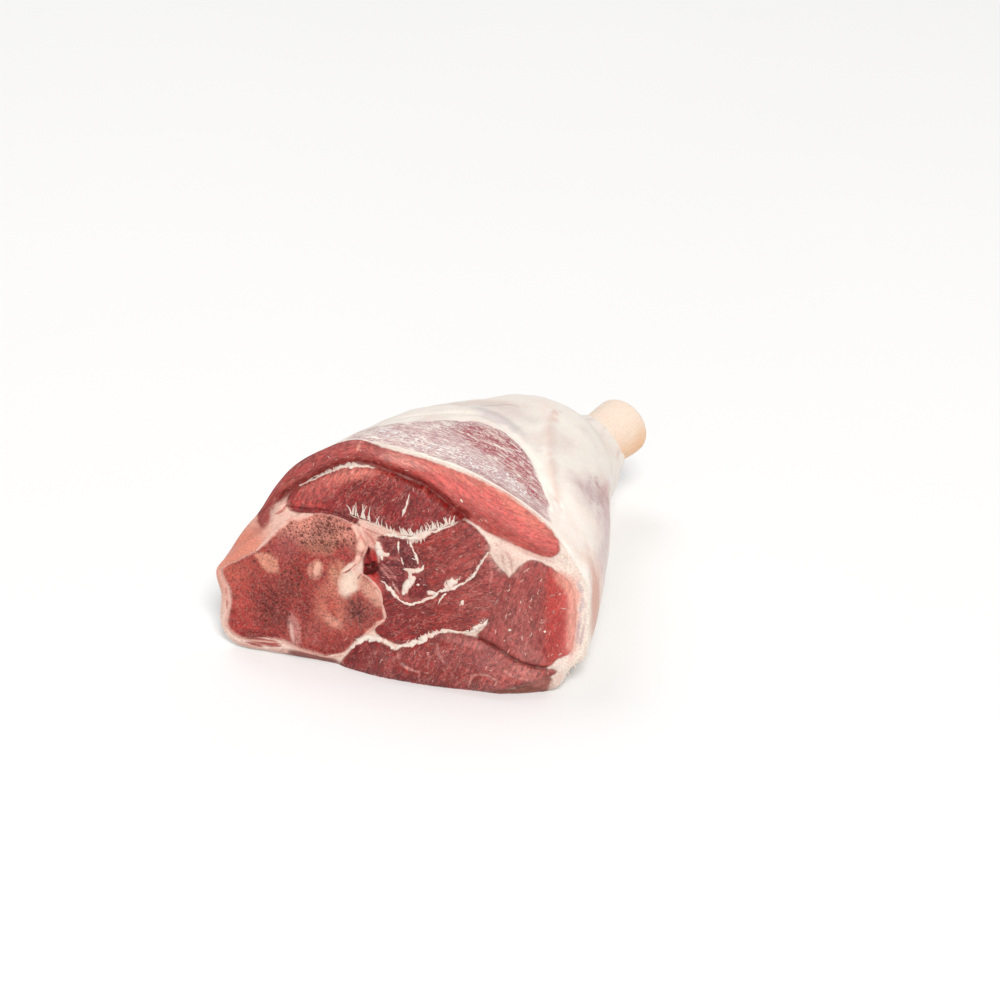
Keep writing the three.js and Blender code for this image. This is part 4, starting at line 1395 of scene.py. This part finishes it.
def build_cover():
    turn = (np.arange(COVER_SIDES) / COVER_SIDES - 0.25) * FULL_TURN
    along = np.linspace(0, PLACE[-1], COVER_ROWS)
    points = leg_points(turn, along)
    s, t = rim_places(turn)
    rim = on_floor(face_point(s, t, face_height(s, t, muscle_depths(s, t))))
    fade = 1 - smooth(0, RIM_BLEND, along)
    points = points + fade[:, None, None] * (rim - points[0])
    turns, alongs = np.meshgrid(turn, along)
    looks, sunk = cover_looks(turns, alongs)
    across = np.roll(points, -1, 1) - np.roll(points, 1, 1)
    out = np.cross(across, np.gradient(points, axis=0))
    out /= np.linalg.norm(out, axis=-1, keepdims=True)
    lumps = COVER_LUMPS[0] * noise(points, COVER_LUMPS[1], 71, 2)
    lumps = lumps + COVER_WRINKLES[0] * noise(points * (1, 0.5, 1), COVER_WRINKLES[1], 72, 3) - sunk
    points = points + out * (lumps * (1 - fade[:, None]))[..., None]
    frayed = smooth(PLACE[-1] - FRAY_LENGTH, PLACE[-1], alongs) * noise(looks["even"], 9, 73, 2)
    points[..., 1] += FRAY * frayed
    points = on_floor(points)
    shell = Shell()
    grid = shell.add(points, looks).reshape(COVER_ROWS, COVER_SIDES)
    shell.quads(np.column_stack([grid, grid[:, :1]])[::-1], tube_places(COVER_SIDES, COVER_ROWS, 0.1)[::-1])
    far_middle = points[-1].mean(0)
    ends = ((0, 1, LEG_MIDDLE, COVER_FRONT_WALL, 0.05), (-1, -1, far_middle, COVER_BACK_WALL, 0.01))
    for row, way, middle, levels, low in ends:
        values = {key: value[row][::way] for key, value in looks.items()}
        walls = leaning(points[row][::way], middle, levels, values)
        shell.close(grid[row][::way], walls, (low, 0.012, 0.011), (0.06, low + 0.03), turned=False)
    sharp = np.concatenate([grid[0], grid[-1]])
    return shell.piece("fat_cover", cover_material(), "meat", sharp=sharp)


# Thigh bone: pore fields by place, reach and strength, and the tints of its sawn face
PORE_FIELDS = [
    ((-32, 41.4), (12, 6), 1), ((-46, 15.5), (7, 8), 0.5), ((-19.4, 18), (3, 3.5), 0.35),
    ((-40, 25), (4, 7), 0.6),
]
BONE_WASHES = [
    ((-60, 23.6), (6, 3.6), 20, (206, 104, 88), 0.85, 0.5),
    ((-56, 16), (5, 9), 0, (188, 78, 70), 0.85, 0.6),
    ((-57, 8.6), (4, 4), 0, (174, 60, 57), 0.7, 0.6),
    ((-46, 16), (7.4, 8.6), 10, (152, 52, 50), 0.9, 0.5),
    ((-48, 18), (3, 2.6), 0, (140, 44, 46), 0.7, 0.6),
    ((-44, 12), (3, 2.4), 0, (126, 62, 56), 0.5, 0.6),
    ((-43, 22), (2.8, 3), 0, (124, 60, 54), 0.5, 0.6),
    ((-33, 41.4), (13, 5.8), 0, (236, 156, 138), 0.95, 0.5),
    ((-31, 42), (4, 3), 0, (166, 98, 86), 0.5, 0.6),
    ((-31, 37), (7, 2.4), 10, (176, 108, 88), 0.8, 0.6),
    ((-42.6, 35.4), (5, 3.6), 40, (164, 80, 80), 0.7, 0.6),
    ((-37, 28), (3, 7), 0, (160, 54, 50), 0.8, 0.6),
    ((-35.2, 17), (2.8, 4), 0, (142, 44, 44), 0.85, 0.6),
    ((-26.4, 19), (6, 7), 0, (208, 122, 104), 0.9, 0.5),
    ((-27.6, 19), (1.8, 3), 30, (186, 70, 64), 0.6, 0.6),
    ((-26.6, 13.6), (3, 1.6), -20, (228, 160, 140), 0.7, 0.5),
    ((-19, 18.6), (5.4, 5), -10, (154, 76, 70), 0.9, 0.5),
    ((-33, 9), (6, 4), 0, (170, 74, 68), 0.8, 0.5),
    ((-25, 6.6), (5, 3.4), 0, (160, 62, 58), 0.8, 0.5),
    ((-25, 35.4), (2.6, 4), 0, (172, 58, 58), 0.8, 0.5),
    ((-26, 29.6), (3, 3.4), 0, (216, 148, 122), 0.85, 0.5),
    ((-22.2, 27.2), (3.2, 4.6), -14, (242, 214, 196), 0.95, 0.4),
    ((-22.6, 31.6), (3, 1.2), 44, (244, 210, 194), 0.95, 0.3),
    ((-15.6, 25), (5.4, 2.4), -42, (226, 166, 146), 0.85, 0.5),
    ((-48.2, 29.4), (4.9, 3.1), -38, (160, 60, 56), 0.7, 0.15),
    ((-48.2, 29.4), (4.3, 2.8), -38, (228, 154, 130), 0.9, 0.25),
    ((-33.3, 29.2), (3, 4.3), -8, (158, 62, 58), 0.7, 0.15),
    ((-33.3, 29.2), (2.4, 3.7), -8, (208, 136, 118), 0.9, 0.15),
    ((-32.8, 29.6), (1.1, 2.4), -8, (234, 178, 156), 0.95, 0.2),
    ((-38.8, 9.6), (2, 5), 13, (206, 136, 128), 0.9, 0.25),
    ((-39.6, 8), (0.5, 3.4), 10, (226, 186, 176), 0.7, 0.4),
]
BONE_STROKES = [
    ([(-59.6, 6.6), (-56, 5.8), (-51, 6.2), (-44, 6.6)], 1.5, (140, 16, 22), 1),
    (oval((-33.3, 29.2), (2.8, 4.1), -8), 0.4, (164, 56, 54), 0.8),
    (oval((-48.2, 29.4), (4.6, 2.8), -38), 0.35, (172, 70, 64), 0.7),
    ([(-59, 14), (-57, 10), (-56, 7)], 1, (166, 44, 44), 0.5),
    ([(-38, 33), (-41, 36), (-43, 38.4)], 0.6, (170, 66, 66), 0.6),
    ([(-30, 34), (-27, 32), (-25.6, 29)], 0.5, (180, 76, 66), 0.6),
    ([(-35, 12), (-32, 8), (-33, 5)], 0.5, (190, 110, 102), 0.6),
    ([(-34, 4.4), (-29, 3.6), (-24, 4.4)], 1, (150, 28, 32), 1),
    ([(-22, 4.6), (-19.4, 7.8), (-18, 10)], 0.5, (150, 40, 40), 0.8),
    ([(-52, 33), (-47, 39.8), (-41, 44.8), (-34, 47)], 1.2, (238, 192, 178), 1),
    ([(-36, 47), (-29, 47), (-22, 45)], 0.6, (196, 128, 116), 0.9),
    ([(-21.2, 31.6), (-20, 35.4), (-19.6, 40), (-22, 44.4)], 2, (248, 196, 178), 1),
    ([(-10.6, 17.6), (-11.8, 21.5), (-13.8, 25.6)], 1.5, (234, 184, 168), 1),
    ([(-10.4, 17.4), (-14, 13), (-19, 8.6)], 1.3, (230, 178, 162), 1),
    ([(-22.6, 22.4), (-20.6, 19.6), (-19, 17.6), (-18, 14.4)], 0.5, (106, 32, 32), 0.9),
    ([(-23, 19), (-20.8, 17.6), (-19, 17.4)], 0.4, (112, 36, 36), 0.8),
    ([(-15.4, 20.6), (-17.4, 18.8), (-19.2, 17.4), (-21, 15.4)], 0.45, (106, 34, 34), 0.8),
    ([(-18.6, 22), (-18.8, 19.4), (-19.6, 17)], 0.35, (112, 36, 36), 0.8),
    ([(-15.6, 16), (-17.4, 17), (-19, 17.2)], 0.35, (120, 40, 40), 0.7),
    ([(-30.4, 23.2), (-27.4, 22.4)], 0.6, (136, 40, 40), 0.9),
    ([(-28.8, 18.4), (-27.4, 16.6), (-25.6, 15)], 0.5, (166, 58, 54), 0.8),
    ([(-24.8, 29.4), (-23, 30.4), (-20.6, 33)], 0.25, (158, 56, 50), 0.9),
    ([(-19.8, 28.6), (-18.4, 30.4), (-17.6, 30.4)], 0.35, (120, 30, 30), 0.9),
    ([(-24, 12), (-22, 10), (-23, 8)], 0.3, (222, 140, 124), 0.8),
]


def femur_looks(s, t):
    places = np.stack([s, t], -1)
    inset = femur_inset(s, t)
    mottle = noise(places, 2.6, 81, 3)
    tone = np.broadcast_to(PALETTE["sawn bone"], s.shape + (3,))
    tone = washed(tone, s, t, BONE_WASHES, mottle)
    tone = blend(tone, PALETTE["bone rim"], 0.8 * smooth(1.3, 0, inset + 0.4 * mottle))
    tone = stroked(tone, s, t, BONE_STROKES, mottle)
    pore = np.full_like(s, 0.08)
    for centre, reach, most in PORE_FIELDS:
        away = np.hypot(*oval_place(s, t, centre, reach)) + 0.4 * mottle
        pore = np.maximum(pore, most * smooth(1.3, 0.5, away))
    pore = pore * smooth(0.4, 0.2, tone[..., 1]) * smooth(0.8, 2, inset)
    rough = 0.2 + 0.8 * smooth(0.42, 0.2, tone[..., 1])
    grain = np.stack([s, t, np.zeros_like(s)], -1)
    tone = np.clip(tone * (1 + 0.18 * noise(places, 1.6, 84, 2))[..., None], 0, 1)
    return {"tone": tone, "pore": pore, "rough": rough, "grain": grain}


def build_femur():
    share, turn, places = square_to_disc(FEMUR_GRID)
    s, t = around(FEMUR_CENTRE, share * femur_radius(turn), turn)
    looks = femur_looks(s, t)
    spread = np.stack([s, t], -1)
    pits = looks["pore"] * smooth(0.3, 0.8, noise(spread, 1.1, 83, 2))
    height = FEMUR_PROUD + 0.2 * noise(spread, 5, 82, 2) + 0.07 * noise(spread, 1, 85) - 0.5 * pits
    height = height - 0.3 * (1 - smooth(0, 0.8, femur_inset(s, t)))
    shell = Shell()
    front = shell.add(face_point(s, t, height), looks)
    shell.quads(front.reshape(FEMUR_GRID, FEMUR_GRID), 0.01 + places * 0.78 + (0, 0.2))
    ring = square_ring(FEMUR_GRID)
    values = {key: value.reshape(FEMUR_GRID**2, -1)[ring] for key, value in looks.items()}
    values["tone"] = np.broadcast_to(PALETTE["bone inside"], (len(ring), 3))
    rows = []
    for inward in [0.02, *np.linspace(0, 1, FEMUR_RUN_RINGS + 1)[1:]]:
        scale = FEMUR_END_SCALE + (1 - FEMUR_END_SCALE) * np.sqrt(1 - inward**2)
        ring_s = FEMUR_CENTRE[0] + (s.ravel()[ring] - FEMUR_CENTRE[0]) * scale
        ring_t = FEMUR_CENTRE[1] + (t.ravel()[ring] - FEMUR_CENTRE[1]) * scale
        row = face_point(ring_s, ring_t, np.zeros(len(ring))) + inward * FEMUR_DEPTH * FEMUR_RUN
        rows.append((row, values))
    shell.close(front[ring], rows, (0.01, 0.02, 0.018), (0.9, 0.5))
    material = bone_material("femur", FEMUR_CONTRAST)
    return shell.piece("femur_bone", material, "femur", sharp=front[ring])


# Shank bone
def build_shank():
    shape_at = curve_through(SHANK_BONE)
    shaft = np.linspace(SHANK_BONE[0][0], STUB_START, SHAFT_RINGS)
    stub = np.linspace(STUB_START + 1, SHANK_BONE[-3][0], STUB_RINGS)
    y = np.concatenate([shaft, stub, STUB_EDGE])
    turn = np.arange(STUB_SIDES) / STUB_SIDES * FULL_TURN
    x, z, radius = shape_at(y).T
    turns, rows = np.meshgrid(turn, y)
    base = np.stack([np.cos(turns), rows / 30, np.sin(turns)], -1)
    reach = radius[:, None] + 0.25 * noise(base, 0.5, 91, 2) * smooth(STUB_END, STUB_END - 4, rows)
    points = np.stack([x[:, None] + reach * np.cos(turns), rows, z[:, None] + reach * np.sin(turns)], -1)
    # The stub is paler on top and darker peach underneath: partly its own tint, partly painted shade on its
    # underside
    low = smooth(0.9, -0.7, np.sin(turns) + 0.35 * noise(points, 7, 92, 2))
    tone = blend(PALETTE["stub top"], PALETTE["stub foot"], low)
    none = np.zeros_like(turns)
    looks = {"tone": tone, "pore": none, "rough": none + 1, "grain": points * (1, 0.4, 1)}
    shell = Shell()
    grid = shell.add(points, looks).reshape(len(y), STUB_SIDES)
    shell.quads(np.column_stack([grid, grid[:, :1]])[::-1], tube_places(STUB_SIDES, len(y), 0.3)[::-1])
    centre = shell.add(points[0].mean(0), {key: value[0].mean(0) for key, value in looks.items()})
    shell.fan(grid[0], centre[0], (0.95, 0.1))
    step = -0.26 / SAWN_RINGS
    shell.close(grid[-1], sawn_rows(points[-1]), (0.27 + step, step, 0.01), (0.9, 0.03))
    return shell.piece("shank_stub", bone_material("shank_bone", SHANK_CONTRAST), "shank_bone")


def sawn_rows(points):
    """Rows of the shank bone's sawn end: a pale ring of hard bone round the marrow."""
    middle = points.mean(0)
    rows = []
    for level in range(1, SAWN_RINGS):
        share = 1 - level / SAWN_RINGS
        row = middle + (points - middle) * share
        places = row[:, [0, 2]]
        marrow = smooth(*MARROW_EDGE, share + 0.05 * noise(places, 3, 95, 2))
        row[:, 1] -= MARROW_DEPTH * marrow + 0.3 * marrow * noise(places, 0.9, 96, 2)
        tone = blend(PALETTE["hard bone"], PALETTE["marrow"], marrow)
        rows.append((row, {"tone": tone, "pore": 0.5 * marrow, "rough": marrow, "grain": row}))
    return rows


# Stage
def add_light(name, place, size, power, tint):
    data = bpy.data.lights.new(name, "AREA")
    data.shape = "DISK"
    data.size = size
    data.energy = power
    data.color = tint
    made = placed(name, data)
    made.location = place
    made.rotation_euler = (Vector(LIGHT_AIM) - made.location).to_track_quat("-Z", "Y").to_euler()


def build_stage():
    scene = bpy.context.scene
    scene.view_settings.view_transform = "Standard"
    world = bpy.data.worlds.new("studio")
    world.use_nodes = True
    background = world.node_tree.nodes["Background"].inputs
    background["Color"].default_value = (1, 1, 1, 1)
    background["Strength"].default_value = WORLD_STRENGTH
    scene.world = world
    mesh = bpy.data.meshes.new("floor")
    corners = [(x * FLOOR_HALF, y * FLOOR_HALF, 0) for x, y in ((-1, -1), (1, -1), (1, 1), (-1, 1))]
    mesh.from_pydata(corners, [], [(0, 1, 2, 3)])
    floor = placed("floor", mesh)
    n = Nodes("floor")
    coords = n.add("TexCoord").outputs["Object"]
    tone = n.mix(n.noise(coords, 3), *FLOOR_TONES)
    mesh.materials.append(n.finish(tone, 0.7, n.noise(coords, 400), 0.02, 0.0002))
    for light in LIGHTS:
        add_light(*light)


def build_camera():
    data = bpy.data.cameras.new("camera")
    data.lens = CAMERA_LENS
    camera = placed("camera", data)
    camera.location = (np.array(CAMERA_PLACE) + SHIFT) * MM
    camera.rotation_euler = Vector(-SIGHT).to_track_quat("-Z", "Y").to_euler()
    bpy.context.scene.camera = camera


build_camera()
build_stage()
build_lean()
build_threads()
build_cover()
build_femur()
build_shank()
